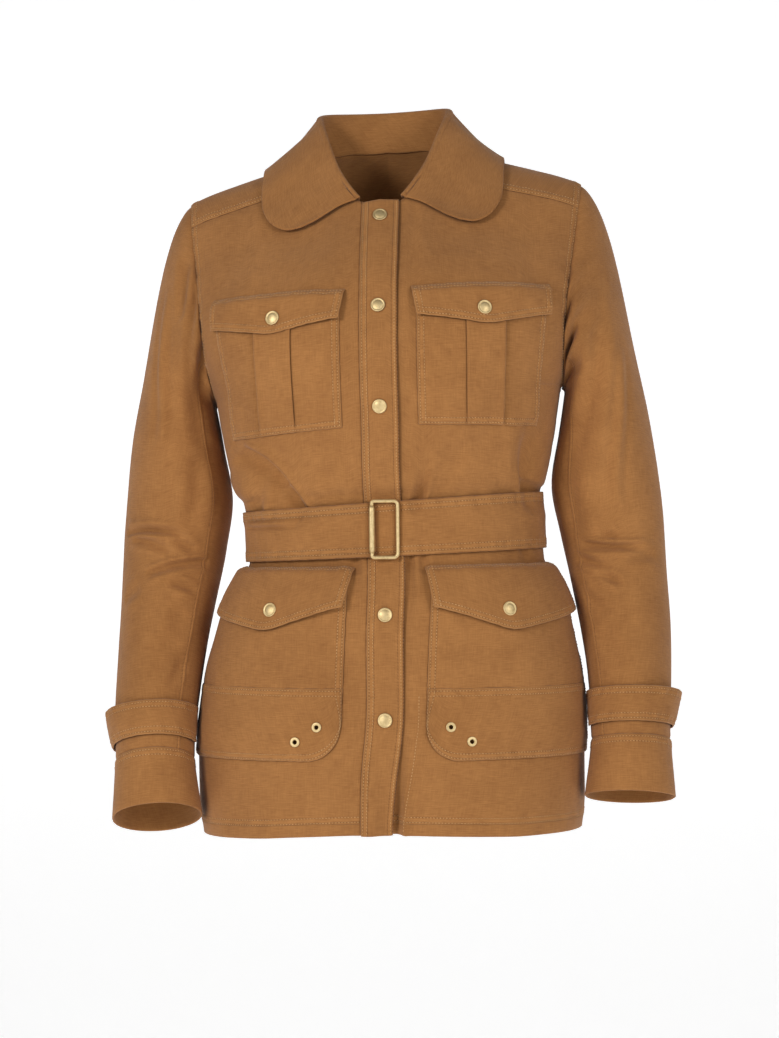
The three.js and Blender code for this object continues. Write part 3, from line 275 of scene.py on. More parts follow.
# Folds of the body: from a point at the belt or seam to where they fade out. face 1 is the front.
# width and depth in mm, ridge is the share that the cloth beside the trough is raised, bow bends it,
# hold 1 is deepest at its start and 0 fades at both ends, skew makes its right-hand side steeper.
FOLD_COLUMNS = "face x z to_x to_z width depth ridge bow hold skew"
BODY_FOLDS = Table(
    FOLD_COLUMNS,
    (1, -83, -364, -138, -303, 12, -3.6, 0, 0, 1, 0),
    (1, 138, -364, 150, -304, 11, -3.6, 0, 0, 1, 0),
    (1, 32, -362, 45, -308, 11, -2.2, 0, 0, 1, 0),
    (-1, -96, -352, -70, -290, 14, -3.2, 0, 0, 1, 0),
    (-1, -30, -352, -22, -300, 13, -2.6, 0, 0, 1, 0),
    (-1, 52, -352, 40, -285, 14, -3.2, 0, 0, 1, 0),
    (-1, 112, -352, 92, -300, 13, -3, 0, 0, 1, 0),
    (-1, -74, -424, -84, -500, 14, -3.2, 0, 0, 1, 0),
    (-1, 8, -424, 10, -510, 15, -3, 0, 0, 1, 0),
    (-1, 88, -424, 96, -490, 14, -3.2, 0, 0, 1, 0),
)
FINE_FOLDS = Table(
    FOLD_COLUMNS,
    (1, -84, -368, -132, -312, 9, -6.4, 0.6, 5, 1, 0.5),
    (1, -98, -342, -146, -302, 12, -8.6, 0.42, 4, 0, 0.55),
    (1, -130, -368, -126, -322, 7, -5, 0.4, 0, 1, 0.2),
    (1, -158, -300, -118, -322, 9, -3, 0.4, 3, 0, 0.3),
    (1, -147, -368, -152, -334, 5, -1.8, 0.3, 0, 1, 0),
    (1, -110, -368, -112, -346, 5, -1.4, 0.3, 0, 1, 0),
    (1, -48, -366, -55, -328, 7, -1.2, 0.3, 2, 1, 0),
    (1, 31, -368, 47, -316, 4.4, -5.4, 0.55, 2, 1, 0.3),
    (1, 54, -352, 82, -304, 9, -1.6, 0.35, 3, 0, 0.3),
    (1, 84, -322, 112, -282, 10, -1.2, 0.3, 2, 0, 0.2),
    (1, 92, -366, 98, -336, 6, -1.2, 0.3, 0, 1, 0),
    (1, 114, -368, 120, -330, 7, -1.7, 0.3, -3, 1, 0),
    (1, 139, -368, 143, -312, 6.5, -7.4, 0.5, 0, 1, -0.35),
    (1, 141, -346, 148, -282, 13, -5, 0.35, 0, 0, -0.3),
    (1, 160, -368, 161, -326, 5, -2.2, 0.3, 0, 1, 0),
    (1, 21, -408, 22, -478, 4, -5, 0.4, 0, 1, 0),
    (1, 33, -408, 33, -446, 5, -4.4, 0.4, 0, 1, 0),
    (1, 132, -410, 137, -430, 4, -2.4, 0.4, 0, 1, 0),
    (1, -35, -408, -34, -462, 5.5, -4.4, 0.4, 0, 1, 0),
    (1, -134, -410, -142, -438, 6, -2, 0.3, 0, 1, 0),
    (1, 11, -704, 19, -602, 9, -10, 0.35, 0, 1, 0.5),
    (1, -120, -694, -112, -640, 16, 1.5, 0.2, 2, 1, 0),
    (1, 130, -694, 122, -636, 16, 1.5, 0.2, -2, 1, 0),
    (1, 160, -300, 132, -336, 11, -1.5, 0.3, 5, 0, 0.2),
    (1, -156, -296, -130, -262, 12, -1.4, 0.3, 4, 0, 0),
    (1, 150, -116, 174, -170, 13, -1.5, 0.3, 4, 0, 0),
    (1, -150, -110, -178, -168, 13, -1.6, 0.3, -4, 0, 0),
    (1, -116, -62, -52, -112, 15, -1.3, 0.3, 4, 0, 0),
    (1, 116, -66, 52, -116, 15, -1.3, 0.3, -4, 0, 0),
    (-1, -140, -130, -60, -230, 18, -2.2, 0.3, 9, 0, 0),
    (-1, 138, -126, 64, -236, 16, -2.4, 0.3, -9, 0, 0),
    (-1, -110, -200, -40, -280, 17, -1.6, 0.3, 6, 0, 0),
    (-1, 96, -210, 30, -292, 16, -1.6, 0.3, -6, 0, 0),
    (-1, -134, -366, -112, -296, 7, -3, 0.4, 4, 1, 0.3),
    (-1, -62, -366, -44, -300, 6.5, -2.8, 0.4, 3, 1, 0.2),
    (-1, 6, -366, 2, -312, 6, -2.4, 0.4, 2, 1, 0),
    (-1, 78, -366, 60, -304, 7, -2.8, 0.4, -3, 1, -0.2),
    (-1, 138, -366, 122, -310, 7, -2.6, 0.4, -3, 1, -0.3),
    (-1, -40, -410, -47, -476, 6, -2.8, 0.4, 2, 1, 0),
    (-1, 48, -410, 53, -484, 6.5, -3, 0.4, -2, 1, 0),
    (-1, 128, -410, 141, -468, 7, -2.6, 0.4, -2, 1, 0),
    (-1, -112, -410, -126, -464, 7, -2.6, 0.4, 2, 1, 0),
    (-1, -150, -640, -128, -540, 15, 1.8, 0.3, 4, 0, 0),
    (-1, 60, -694, 52, -580, 16, 2.4, 0.3, 4, 1, 0),
    (-1, -30, -694, -36, -600, 16, 1.8, 0.3, 4, 1, 0),
)

# Folds of the sleeves: phi 0 outer side, 90 front, 180 inner side, 270 back; w is the ring.
SLEEVE_FOLDS = Table(
    FOLD_COLUMNS.replace("face x z to_x to_z", "side phi w to_phi to_w"),
    (1, 112, -0.97, 48, -0.52, 5.5, -3.4, 0.55, 0, 1, 0),
    (1, 128, -0.8, 68, -0.42, 7, -4.6, 0.5, 2, 1, 0.2),
    (1, 140, -0.82, 116, -0.66, 6, -3.2, 0.3, 0, 1, 0),
    (1, 146, -0.5, 84, -0.1, 10, -2.4, 0.35, 5, 1, 0),
    (1, 77, -0.4, 120, 1.9, 11, -3, 0.5, 9, 0, 0),
    (1, 130, 0.6, 132, 3.1, 10, -2.2, 0.4, 3, 0, 0),
    (1, 52, -0.1, 81, 2.6, 5, 2.3, 0.35, 5, 0, 0),
    (1, 127, 3.3, 56, 3.42, 3.6, -3.2, 0.6, 2, 0, -0.2),
    (1, 104, 3.16, 84, 3.2, 4, -1.8, 0.5, 0, 0, 0),
    (1, 139, 3.58, 98, 3.84, 4.2, -2.6, 0.6, 0, 0, 0),
    (1, 116, 3.9, 88, 4.18, 4, -2.4, 0.6, 0, 0, 0),
    (1, 78, 3.7, 40, 3.62, 6, -1.5, 0.5, -3, 0, 0),
    (1, 140, 4.3, 104, 4.72, 6, -1.6, 0.5, 3, 0, 0),
    (1, 120, 5.0, 96, 5.9, 9, -1.6, 0.4, 3, 0, 0),
    (1, 250, 3.0, 304, 2.9, 6, -3, 0.5, 4, 0, 0),
    (1, 240, 3.5, 318, 3.62, 6, -3.4, 0.5, -4, 0, 0),
    (1, 250, 4.1, 296, 3.98, 6, -2.8, 0.5, 4, 0, 0),
    (1, 212, -0.9, 300, -0.6, 8, -3.8, 0.5, -6, 1, 0),
    (1, 208, -0.5, 280, -0.2, 9, -3.4, 0.5, -7, 1, 0),
    (1, 250, 0.4, 262, 2.2, 12, -2, 0.4, 6, 0, 0),
    (-1, 44, -0.86, 79, -0.6, 7, -2.4, 0.4, 4, 0, 0),
    (-1, 78, -0.95, 112, -0.4, 7, -3, 0.45, 3, 1, 0),
    (-1, 132, -0.98, 158, 0.45, 9, -3.8, 0.45, -4, 1, 0),
    (-1, 118, -0.6, 128, 1, 10, -2, 0.4, 4, 0, 0),
    (-1, 45, -0.6, 77, 1, 5.5, 2.5, 0.35, 11, 0, 0),
    (-1, 120, 1.2, 112, 2.65, 7, -2.2, 0.45, 0, 0, 0),
    (-1, 28, 2.72, 108, 2.8, 3.6, -3, 0.6, 3, 0, -0.2),
    (-1, 44, 2.86, 94, 3.15, 4, -2.2, 0.5, 2, 0, 0),
    (-1, 98, 2.88, 120, 3.12, 4.5, -2.4, 0.5, 0, 0, 0),
    (-1, 68, 3.62, 142, 3.35, 4, -2.8, 0.6, 3, 0, 0.2),
    (-1, 98, 3.8, 132, 3.97, 3.8, -2, 0.6, 0, 0, 0),
    (-1, 62, 3.9, 34, 4.1, 6, -1.4, 0.5, 0, 0, 0),
    (-1, 120, 4.3, 104, 5.2, 9, -1.6, 0.4, 3, 0, 0),
    (-1, 132, 5.4, 112, 6.1, 6, -1.4, 0.4, 3, 0, 0),
    (-1, 252, 2.9, 306, 2.8, 6, -3, 0.5, 4, 0, 0),
    (-1, 242, 3.4, 316, 3.52, 6, -3.4, 0.5, -4, 0, 0),
    (-1, 250, 4.0, 298, 3.9, 6, -2.6, 0.5, 4, 0, 0),
    (-1, 214, -0.9, 298, -0.62, 8, -3.8, 0.5, -6, 1, 0),
    (-1, 206, -0.45, 278, -0.15, 9, -3.4, 0.5, -7, 1, 0),
    (-1, 254, 0.5, 264, 2.1, 12, -2, 0.4, 6, 0, 0),
)

# Creases pressed into the belt: from and to are distances round it, dz its height on the strap.
BELT_FOLDS = Table(
    "from to dz to_dz width depth",
    (-172, -86, 17.5, 16, 1.7, -2.2),
    (-168, -92, 9.5, 7.5, 2.2, -2.6),
    (-160, -104, 13.5, 12, 1.8, 1.2),
    (-96, -84, 8, 19, 2.2, -1.1),
    (-72, -50, -2, 6, 5, -0.7),
    (-140, -112, -6, -14, 7, -0.6),
    (52, 84, 3, -4, 7, -0.6),
    (100, 138, 10, 2, 6, -0.6),
)

ROW_GAP = (2.0, 7.0)
HEM_ROWS = 11


def ease(t):
    t = np.clip(t, 0, 1)
    return t * t * (3 - 2 * t)


def mix(a, b, t):
    return a + (b - a) * t


def unit(a):
    return a / np.maximum(np.linalg.norm(a, axis=-1, keepdims=True), 1e-9)


def bell(r):
    return np.exp(-r * r)


def roundness(v):
    return mix(CHEST_ROUNDNESS, SHOULDER_ROUNDNESS, ease((v - CHEST_Z) / SHOULDER_RISE))


def shoulder_z(x):
    return SHOULDER_LINE.at("z", np.abs(x))


def placket_x(z):
    return PLACKET_LINE.at("x", z)


def torso_point(theta, v):
    """Bare torso: a superellipse in each height, closed over the shoulders by an arch."""
    theta, v = np.broadcast_arrays(np.asarray(theta, float), np.asarray(v, float))
    s, c = np.sin(np.radians(theta)), np.cos(np.radians(theta))
    power = 2 / roundness(v)
    x = TORSO.at("half_width", v) * np.sign(s) * np.abs(s) ** power
    t = np.clip((v - CHEST_Z) / ARCH, 0, 1)
    is_front = c >= 0
    arch_share = np.sqrt(1 - np.where(is_front, t**FRONT_ARCH_POWER, t**BACK_ARCH_POWER))
    depth = np.where(is_front, -TORSO.at("front", v), TORSO.at("back", v)) * arch_share
    y = depth * np.abs(c) ** power + RIDGE_Y * t * t
    z = np.where(v <= CHEST_Z, v, CHEST_Z + (shoulder_z(x) - CHEST_Z) * t)
    return np.stack([x, y, z], -1)


def v_of_z(theta, z):
    """Height v at which the torso passes level z at an angle, by repeated correction."""
    theta, z = np.broadcast_arrays(np.asarray(theta, float), np.asarray(z, float))
    v = z.copy()
    for _ in range(8):
        x = torso_point(theta, v)[..., 0]
        v = np.minimum(CHEST_Z + ARCH * (z - CHEST_Z) / (shoulder_z(x) - CHEST_Z), -0.5)
    return np.where(z <= CHEST_Z, z, v)


def fold_depth(a, b, table, picked):
    """Soft troughs in a flat chart (a, b): a bell across each line, ridges beside it, faded along it."""
    a, b = np.broadcast_arrays(a, b)
    total = np.zeros(a.shape)
    for row in table.rows[picked]:
        _, x, z, to_x, to_z, width, depth, ridge, bow, hold, skew = row
        ax, az = to_x - x, to_z - z
        run = math.hypot(ax, az)
        along = ((a - x) * ax + (b - z) * az) / run**2
        t = np.clip(along, 0, 1)
        side = ((a - x) * az - (b - z) * ax) / run - bow * 4 * t * (1 - t)
        past = (along - t) * run
        r = np.hypot(side / (1 - skew * np.tanh(side / 3)), past) / width
        profile = bell(r) - ridge * (bell((r - 1.9) / 0.8))
        fade = 1 - 0.85 * ease(t) if hold else np.sqrt(np.clip(4 * t * (1 - t), 0, 1)) * bell(past / width)
        total += depth * profile * fade
    return total


def drift(a, b, seed=0.0):
    """Slow unevenness of worn cloth: three crossed waves of unlike lengths."""
    return (
        0.45 * np.sin(a / 23 + b / 41 + 1.3 + seed)
        + 0.35 * np.sin(a / 15 - b / 29 + 0.4 + 2 * seed)
        + 0.25 * np.sin(a / 37 - b / 17 + 2.1 + 3 * seed)
    )


def relief(p, strength=1.0):
    """Height of bust, gathers and folds over the bare torso at its points."""
    x, y, z = p[..., 0], p[..., 1], p[..., 2]
    is_front = y < 0
    r = np.hypot(np.abs(x) - BUST["x"], (z - BUST["z"]) * 0.85) / BUST["radius"]
    total = np.where(is_front, BUST["height"] * bell(r), 0)
    for table, share in ((BODY_FOLDS, 1.0), (FINE_FOLDS, strength)):
        for face in (1, -1):
            picked = table.column("face") == face
            on_face = is_front if face == 1 else ~is_front
            total = total + np.where(on_face, share * fold_depth(x, z, table, picked), 0)
    under_belt = bell((z - BELT["z"]) / 30)
    side_fade = ease(np.abs(y) / 40)
    return total + strength * drift(x, z) * (1 - under_belt) * side_fade


def torso(theta, v, out=0.0, strength=1.0):
    """Worn torso: the bare one moved out along its normal by its relief and a distance."""
    p = torso_point(theta, v)
    du = torso_point(theta + 0.4, v) - torso_point(theta - 0.4, v)
    high = np.minimum(v + 1, -0.05)
    dv = torso_point(theta, high) - torso_point(theta, high - 2)
    n = unit(np.cross(du, dv))
    return p + n * (out + relief(p, strength))[..., None]


def arch_point(x, sigma):
    """Bare torso above the chest by distance from the middle and the turn over the shoulder."""
    x, sigma = np.broadcast_arrays(np.asarray(x, float), np.asarray(sigma, float))
    t = np.sin(np.radians(sigma))
    v = CHEST_Z + ARCH * t
    n = roundness(v)
    inside = np.maximum(1 - (np.abs(x) / TORSO.at("half_width", v)) ** n, 0)
    is_front = sigma <= 90
    closing = np.where(is_front, t**FRONT_ARCH_POWER, t**BACK_ARCH_POWER)
    arch_share = np.sqrt(np.maximum(1 - closing, 0))
    depth = np.where(is_front, -TORSO.at("front", v), TORSO.at("back", v))
    y = depth * arch_share * inside ** (1 / n) + RIDGE_Y * t * t
    return np.stack([x, y, CHEST_Z + (shoulder_z(x) - CHEST_Z) * t], -1)


def arch(x, sigma, out=0.0, bare=False):
    p = arch_point(x, sigma)
    dx = arch_point(x + 1, sigma) - arch_point(x - 1, sigma)
    ds = arch_point(x, sigma + 0.6) - arch_point(x, sigma - 0.6)
    n = unit(np.cross(dx, ds))
    height = out + relief(p, 0.0 if bare else 1.0)
    return p + n * height[..., None]


def sigma_of_z(x, z, behind):
    t = np.clip((z - CHEST_Z) / (shoulder_z(x) - CHEST_Z), 0, 1)
    s = np.degrees(np.arcsin(t))
    return np.where(behind, 180 - s, s)


def read_grid(values, row, column):
    """Value of a grid between its rows and columns, by two mixes."""
    i = np.clip(np.floor(row).astype(int), 0, values.shape[0] - 2)
    j = np.clip(np.floor(column).astype(int), 0, values.shape[1] - 2)
    a, b = np.clip(row - i, 0, 1), np.clip(column - j, 0, 1)
    low = mix(values[i, j], values[i, j + 1], b)
    high = mix(values[i + 1, j], values[i + 1, j + 1], b)
    return mix(low, high, a)


class Girth:
    """Distances round the bare torso from the front centre at each height, and their inverse."""

    LOW, HIGH, ROWS = -716.0, -2.0, 358
    ANGLES = np.linspace(0, 180, 121)
    SHARES = 361

    def __init__(self, level):
        heights = np.linspace(self.LOW, self.HIGH, self.ROWS)[:, None]
        v = v_of_z(self.ANGLES, heights) if level else heights
        p = torso_point(self.ANGLES, v)
        step = np.hypot(np.diff(p[..., 0]), np.diff(p[..., 1]))
        self.u = np.concatenate([np.zeros((self.ROWS, 1)), np.cumsum(step, axis=1)], axis=1)
        shares = np.linspace(0, 1, self.SHARES)
        self.theta = np.stack([np.interp(shares * row[-1], row, self.ANGLES) for row in self.u])

    def row(self, v):
        return (np.asarray(v, float) - self.LOW) / (self.HIGH - self.LOW) * (self.ROWS - 1)

    def distance(self, v, theta):
        column = np.asarray(theta, float) / 180 * (len(self.ANGLES) - 1)
        return read_grid(self.u, *np.broadcast_arrays(self.row(v), column))

    def angle(self, v, u):
        u = np.asarray(u, float)
        share = np.abs(u) / self.distance(v, 180)
        rows, columns = np.broadcast_arrays(self.row(v), share * (self.SHARES - 1))
        return np.sign(u) * read_grid(self.theta, rows, columns)


BY_HEIGHT = Girth(level=False)
BY_LEVEL = Girth(level=True)


def on_body(side, u, z, out=0.0):
    """Point of the front by distance round the body and level."""
    theta = BY_LEVEL.angle(z, u)
    return torso(side * theta, v_of_z(theta, z), out)


def armhole_theta(v, behind):
    t = np.clip((v - CHEST_Z) / ARCH, 0, 1)
    share = np.minimum(np.degrees(np.arcsin(t)) / ARMHOLE_TURN, 1)
    n = roundness(v)
    full = (1 - ARMHOLE_WIDTH_SHARE**n) ** (1 / n)
    depth = full * np.sqrt(1 - (1 - share) ** 2)
    theta = np.degrees(np.arccos(depth ** (n / 2)))
    return 180 - theta if behind else theta


def armhole_x(v):
    return torso_point(armhole_theta(v, False), v)[..., 0]


def stand(p):
    """Worn stance of the body: each height sways sideways and tilts a little."""
    z = p[..., 2]
    x = p[..., 0]
    return np.stack([x + STANCE.at("sway", z), p[..., 1], z + STANCE.at("tilt", z) * x], -1)


def stand_sleeve(p, side):
    x, z = p[..., 0] * side, p[..., 2]
    sway = SLEEVE_SWAY_TOP + SLEEVE_SWAY_PER_MM * z
    return np.stack([x + sway, p[..., 1], z + SLEEVE_TILT * x], -1)


class Cloth:
    """A posed grid of points, rows up and columns across, with its outward normals."""

    level = 0  # the row that its weave is measured from

    def __init__(self, points, flip=False, wrap=False):
        self.p = points
        self.wrap = wrap
        self.flip = flip
        if wrap:
            across = np.roll(points, -1, 1) - np.roll(points, 1, 1)
        else:
            across = np.gradient(points, axis=1)
        up = np.gradient(points, axis=0)
        self.n = unit(np.cross(across, up)) * (-1 if flip else 1)

    def lengths(self, axis):
        """Distance along the grid from its first row (axis 0) or column (axis 1)."""
        step = np.linalg.norm(np.diff(self.p, axis=axis), axis=-1)
        zero = np.zeros_like(np.take(step, [0], axis=axis))
        return np.concatenate([zero, np.cumsum(step, axis=axis)], axis=axis)

    def edge(self, *names):
        """Distance in mm from the nearest of the named edges."""
        across, up = self.lengths(1), self.lengths(0)
        found = {
            "first": across,
            "last": across[:, -1:] - across,
            "bottom": up,
            "top": up[-1:] - up,
        }
        return np.min([found[name] for name in names], axis=0)

    def moved(self, height):
        """The same cloth raised along its normals by a height at each point."""
        return Cloth(self.p + self.n * height[..., None], self.flip, self.wrap)

    def area(self):
        p = self.p
        crossed = np.cross(p[1:, 1:] - p[:-1, :-1], p[1:, :-1] - p[:-1, 1:])
        return float(np.linalg.norm(crossed, axis=-1).sum() / 2)

    def row(self, edge, distance, start=0.0, end=0.0):
        """Line at a distance inside one edge, with its normals, cut short at both ends."""
        p, n = self.p, self.n
        if edge == "last":
            p, n = p[:, ::-1], n[:, ::-1]
        if edge == "top":
            p, n = p[::-1], n[::-1]
        if edge in ("bottom", "top"):
            p, n = p.transpose(1, 0, 2), n.transpose(1, 0, 2)
        step = np.linalg.norm(np.diff(p, axis=1), axis=-1)
        inward = np.concatenate([np.zeros((len(p), 1)), np.cumsum(step, axis=1)], axis=1)
        k = np.clip((inward < distance).sum(axis=1) - 1, 0, p.shape[1] - 2)
        rows = np.arange(len(p))
        share = (distance - inward[rows, k]) / (inward[rows, k + 1] - inward[rows, k])
        line = mix(p[rows, k], p[rows, k + 1], share[:, None])
        normal = unit(mix(n[rows, k], n[rows, k + 1], share[:, None]))
        if self.wrap and edge in ("bottom", "top"):
            line = np.concatenate([line, line[:1]])
            normal = np.concatenate([normal, normal[:1]])
        return trimmed(line, normal, start, end)


def trimmed(line, normal, start, end):
    """Part of a line between a distance from its start and one from its end."""
    run = np.concatenate([[0], np.cumsum(np.linalg.norm(np.diff(line, axis=0), axis=1))])
    places = np.linspace(start, run[-1] - end, max(len(line), 8))
    line = np.stack([np.interp(places, run, line[:, k]) for k in range(3)], -1)
    normal = np.stack([np.interp(places, run, normal[:, k]) for k in range(3)], -1)
    return line, unit(normal)


class Make:
    """Meshes and materials of the jacket, with the settings of its panel."""

    cloths = {}
    rows = {}

    @staticmethod
    def settings():
        return bpy.context.scene.jacket_settings

    @staticmethod
    def mesh(name, points, faces, uv=None, edge=None, sharp=False):
        """Mesh from points in mm and faces as an array of corner numbers."""
        mesh = bpy.data.meshes.new(name)
        mesh.from_pydata(points * MM, [], faces)
        if not sharp:
            mesh.polygons.foreach_set("use_smooth", np.ones(len(mesh.polygons), bool))
        if uv is not None:
            corner = np.empty(len(mesh.loops), np.int32)
            mesh.loops.foreach_get("vertex_index", corner)
            layer = mesh.uv_layers.new(name="cloth")
            layer.data.foreach_set("uv", (uv[corner] * MM).astype(np.float32).ravel())
        if edge is not None:
            mesh.attributes.new("edge", "FLOAT", "POINT").data.foreach_set("value", edge)
        mesh.update()
        thing = bpy.data.objects.new(name, mesh)
        bpy.context.scene.collection.objects.link(thing)
        return thing


def shell_arrays(cloth, thick, edge):
    """Closed cloth: the grid, a second grid inside it and a half-round rim between them."""
    rows, cols = cloth.p.shape[:2]
    number = np.arange(rows * cols).reshape(rows, cols)
    inner_number = number + rows * cols
    across, up = cloth.lengths(1), cloth.lengths(0)
    up = up - up[[cloth.level]]
    uv = np.stack([across, up], -1).reshape(-1, 2)
    points = np.concatenate([cloth.p.reshape(-1, 3), (cloth.p - cloth.n * thick).reshape(-1, 3)])
    a, b = (number, inner_number) if not cloth.flip else (inner_number, number)
    if cloth.wrap:
        a, b = (np.concatenate([g, g[:, :1]], axis=1) for g in (a, b))

    def quads(g):
        return np.stack([g[:-1, :-1], g[:-1, 1:], g[1:, 1:], g[1:, :-1]], -1).reshape(-1, 4)

    faces = [quads(a), quads(b)[:, ::-1]]
    extra, extra_uv, extra_edge = [], [], []
    count = 2 * rows * cols
    inward = np.gradient(cloth.p, axis=0)
    if cloth.wrap:
        loops = [(number[0], -inward[0]), (number[-1][::-1], inward[-1][::-1])]
    else:
        sideways = np.gradient(cloth.p, axis=1)
        ring = np.concatenate([number[0], number[1:, -1], number[-1, -2::-1], number[-2:0:-1, 0]])
        away = np.zeros((rows, cols, 3))
        away[0] -= unit(inward[0])
        away[-1] += unit(inward[-1])
        away[:, 0] -= unit(sideways[:, 0])
        away[:, -1] += unit(sideways[:, -1])
        loops = [(ring, away.reshape(-1, 3)[ring])]
    flat_p = cloth.p.reshape(-1, 3)
    flat_n = cloth.n.reshape(-1, 3)
    for ring, away in loops:
        middle = flat_p[ring] - flat_n[ring] * thick / 2 + unit(away) * thick * 0.45
        middle_number = count + np.arange(len(ring))
        count += len(ring)
        extra.append(middle)
        extra_uv.append(uv[ring])
        extra_edge.append(edge.ravel()[ring])
        for one, two in ((ring, middle_number), (middle_number, ring + rows * cols)):
            strip = np.stack([one, two, np.roll(two, -1), np.roll(one, -1)], -1)
            faces.append(strip[:, ::-1] if cloth.flip else strip)
    points = np.concatenate([points, *extra])
    uv = np.concatenate([uv, uv, *extra_uv])
    edges = np.concatenate([edge.ravel(), edge.ravel(), *extra_edge])
    return points, np.concatenate(faces), uv, edges.astype(np.float32)


def shell(node, cloth, thick, edge=None, more=()):
    """Cloth piece that stands for a node; more holds further cloths joined into it."""
    name = node + "_cloth"
    parts = []
    for piece, wall, distance in ((cloth, thick, edge), *more):
        distance = np.full(piece.p.shape[:2], 60.0) if distance is None else distance
        parts.append(shell_arrays(piece, wall, distance))
    start = 0
    faces = []
    for points, quads, _, _ in parts:
        faces.append(quads + start)
        start += len(points)
    thing = Make.mesh(
        name,
        np.concatenate([part[0] for part in parts]),
        np.concatenate(faces).tolist(),
        np.concatenate([part[2] for part in parts]),
        np.concatenate([part[3] for part in parts]),
    )
    thing.data.materials.append(finish("twill"))
    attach(thing, "root")
    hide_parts(node)
    Make.cloths[name] = cloth
    Make.rows.setdefault(name, [])
    return thing


def dress(node, made, thick, more=()):
    """Dresses a node in its cloth and edges, and returns its name."""
    thing = shell(node, made[0], thick, made[1], more)
    return thing.name


def pucker(distance, along, seed=0.0):
    """Small waves that stitching draws into the cloth beside it."""
    near = bell((distance - 4.5) / 5)
    slow = along / 3.3 + 2 * seed + 0.4 * np.sin(along / 11)
    waves = 0.42 * np.sin(along / 1.5 + seed) + 0.42 * np.sin(slow)
    return near * (waves - 0.15)


def in_neck(p, v, grow):
    omega = np.degrees(np.arcsin(np.clip((v - CHEST_Z) / ARCH, 0, 1)))
    a = p[..., 0] / (NECK_HALF_WIDTH + grow)
    b = (90 - omega) / (NECK_FRONT_TURN + grow * 0.3)
    return a * a + b * b < 1


def top_of_columns(theta_at, count, past_seam):
    """Top height of each front column: the neckline where it crosses it, else the yoke seam."""
    seam = np.full(count, CHEST_Z + ARCH * math.sin(math.radians(YOKE_SIGMA)) + past_seam)
    crosses = in_neck(torso_point(theta_at(seam), seam), seam, 0)
    low, high = np.full(count, -150.0), seam.copy()
    for _ in range(30):
        v = (low + high) / 2
        inside = in_neck(torso_point(theta_at(v), v), v, 0)
        high, low = np.where(inside, v, high), np.where(inside, low, v)
    return np.where(crosses, low, seam)


def hem_z(theta):
    return mix(HEM_FRONT_Z, HEM_SIDE_Z, ease(np.abs(np.sin(np.radians(theta)))))


LAP = 1.8


def graded(count, centre, width, gain):
    """Shares from 0 to 1 that lie closer together round a centre."""
    t = np.linspace(0, 1, 400)
    weight = 1 + gain * bell((t - centre) / width)
    run = np.concatenate([[0], np.cumsum((weight[1:] + weight[:-1]) / 2)])
    return np.interp(np.linspace(0, run[-1], count), run, t)


def front(side):
    """One front: from its centre edge to the side seam and armhole, its top under the yoke."""
    columns, rows = 96, 236
    share = np.linspace(0, 1, columns)

    def start(v):
        if side < 0:
            return PLACKET_HALF - 5 - placket_x(v)
        return placket_x(v) - UNDERLAP

    def end(v):
        armhole = BY_HEIGHT.distance(v, armhole_theta(v, False)) + LAP * ease((v - CHEST_Z) / 12)
        return np.where(v > CHEST_Z, armhole, BY_HEIGHT.distance(v, 90) + 0.2)

    def theta_at(v, s=share):
        return BY_HEIGHT.angle(v, mix(start(v), end(v), s))

    top = top_of_columns(theta_at, columns, 4.0)
    v = mix(hem_z(share * 90), top, graded(rows, 0.6, 0.2, 1.2)[:, None])
    theta = theta_at(v)
    p = torso_point(theta, v)
    x = p[..., 0]
    if side > 0:
        sink = -UNDERLAP_SINK * ease((PLACKET_HALF + placket_x(v) + 11 - x) / 9)
    else:
        sink = -1.3 * ease((PLACKET_HALF + 3 - x - placket_x(v)) / 5)
    seam_v = CHEST_Z + ARCH * math.sin(math.radians(YOKE_SIGMA))
    sink = sink - 1.0 * ease((v - seam_v + 3) / 4) * (x > 50)
    cloth = Cloth(stand(torso(side * theta, v, sink)), flip=side < 0)
    edge = np.minimum(cloth.edge("last") + 200 * (v < CHEST_Z), cloth.edge("bottom") - HEM_ROWS)
    edge = np.where(cloth.edge("bottom") < HEM_ROWS, 60, edge)
    along = cloth.lengths(0)
    raised = 0.5 * bell((cloth.edge("last") - 4) / 6) * (v > CHEST_Z)
    height = raised + pucker(np.abs(edge), np.where(edge < 12, along + cloth.lengths(1), along), side)
    return cloth.moved(height), edge


def back_cloth():
    """The back: one piece from side seam to side seam, its top under the yoke."""
    columns, rows = 121, 176
    share = np.linspace(-1, 1, columns)

    def theta_at(v):
        half = BY_HEIGHT.distance(v, 180)
        armhole = BY_HEIGHT.distance(v, armhole_theta(v, True)) - LAP * ease((v - CHEST_Z) / 12)
        edge = np.where(v > CHEST_Z, armhole, BY_HEIGHT.distance(v, 90) + 0.2)
        return BY_HEIGHT.angle(v, half - (half - edge) * np.abs(share))

    top = np.full(columns, -150.0)
    for _ in range(12):
        top = v_of_z(theta_at(top), BACK_YOKE_Z + 3.0)
    low = mix(HEM_FRONT_Z - 8, HEM_SIDE_Z, ease(np.abs(share)))
    v = mix(low, top, graded(rows, 0.55, 0.22, 1.2)[:, None])
    theta = theta_at(v) * np.where(share < 0, -1, 1)
    level = torso_point(theta, v)[..., 2]
    sink = -1.0 * ease((level - BACK_YOKE_Z + 3) / 4)
    cloth = Cloth(stand(torso(theta, v, sink)), flip=True)
    sides = cloth.edge("first", "last")
    edge = np.minimum(sides + 200 * (v < CHEST_Z), cloth.edge("bottom") - HEM_ROWS)
    edge = np.where(cloth.edge("bottom") < HEM_ROWS, 60, edge)
    raised = 0.5 * bell((sides - 4) / 6) * (v > CHEST_Z)
    height = raised + pucker(np.abs(edge), cloth.lengths(0) + cloth.lengths(1), 0.7)
    return cloth.moved(height), edge


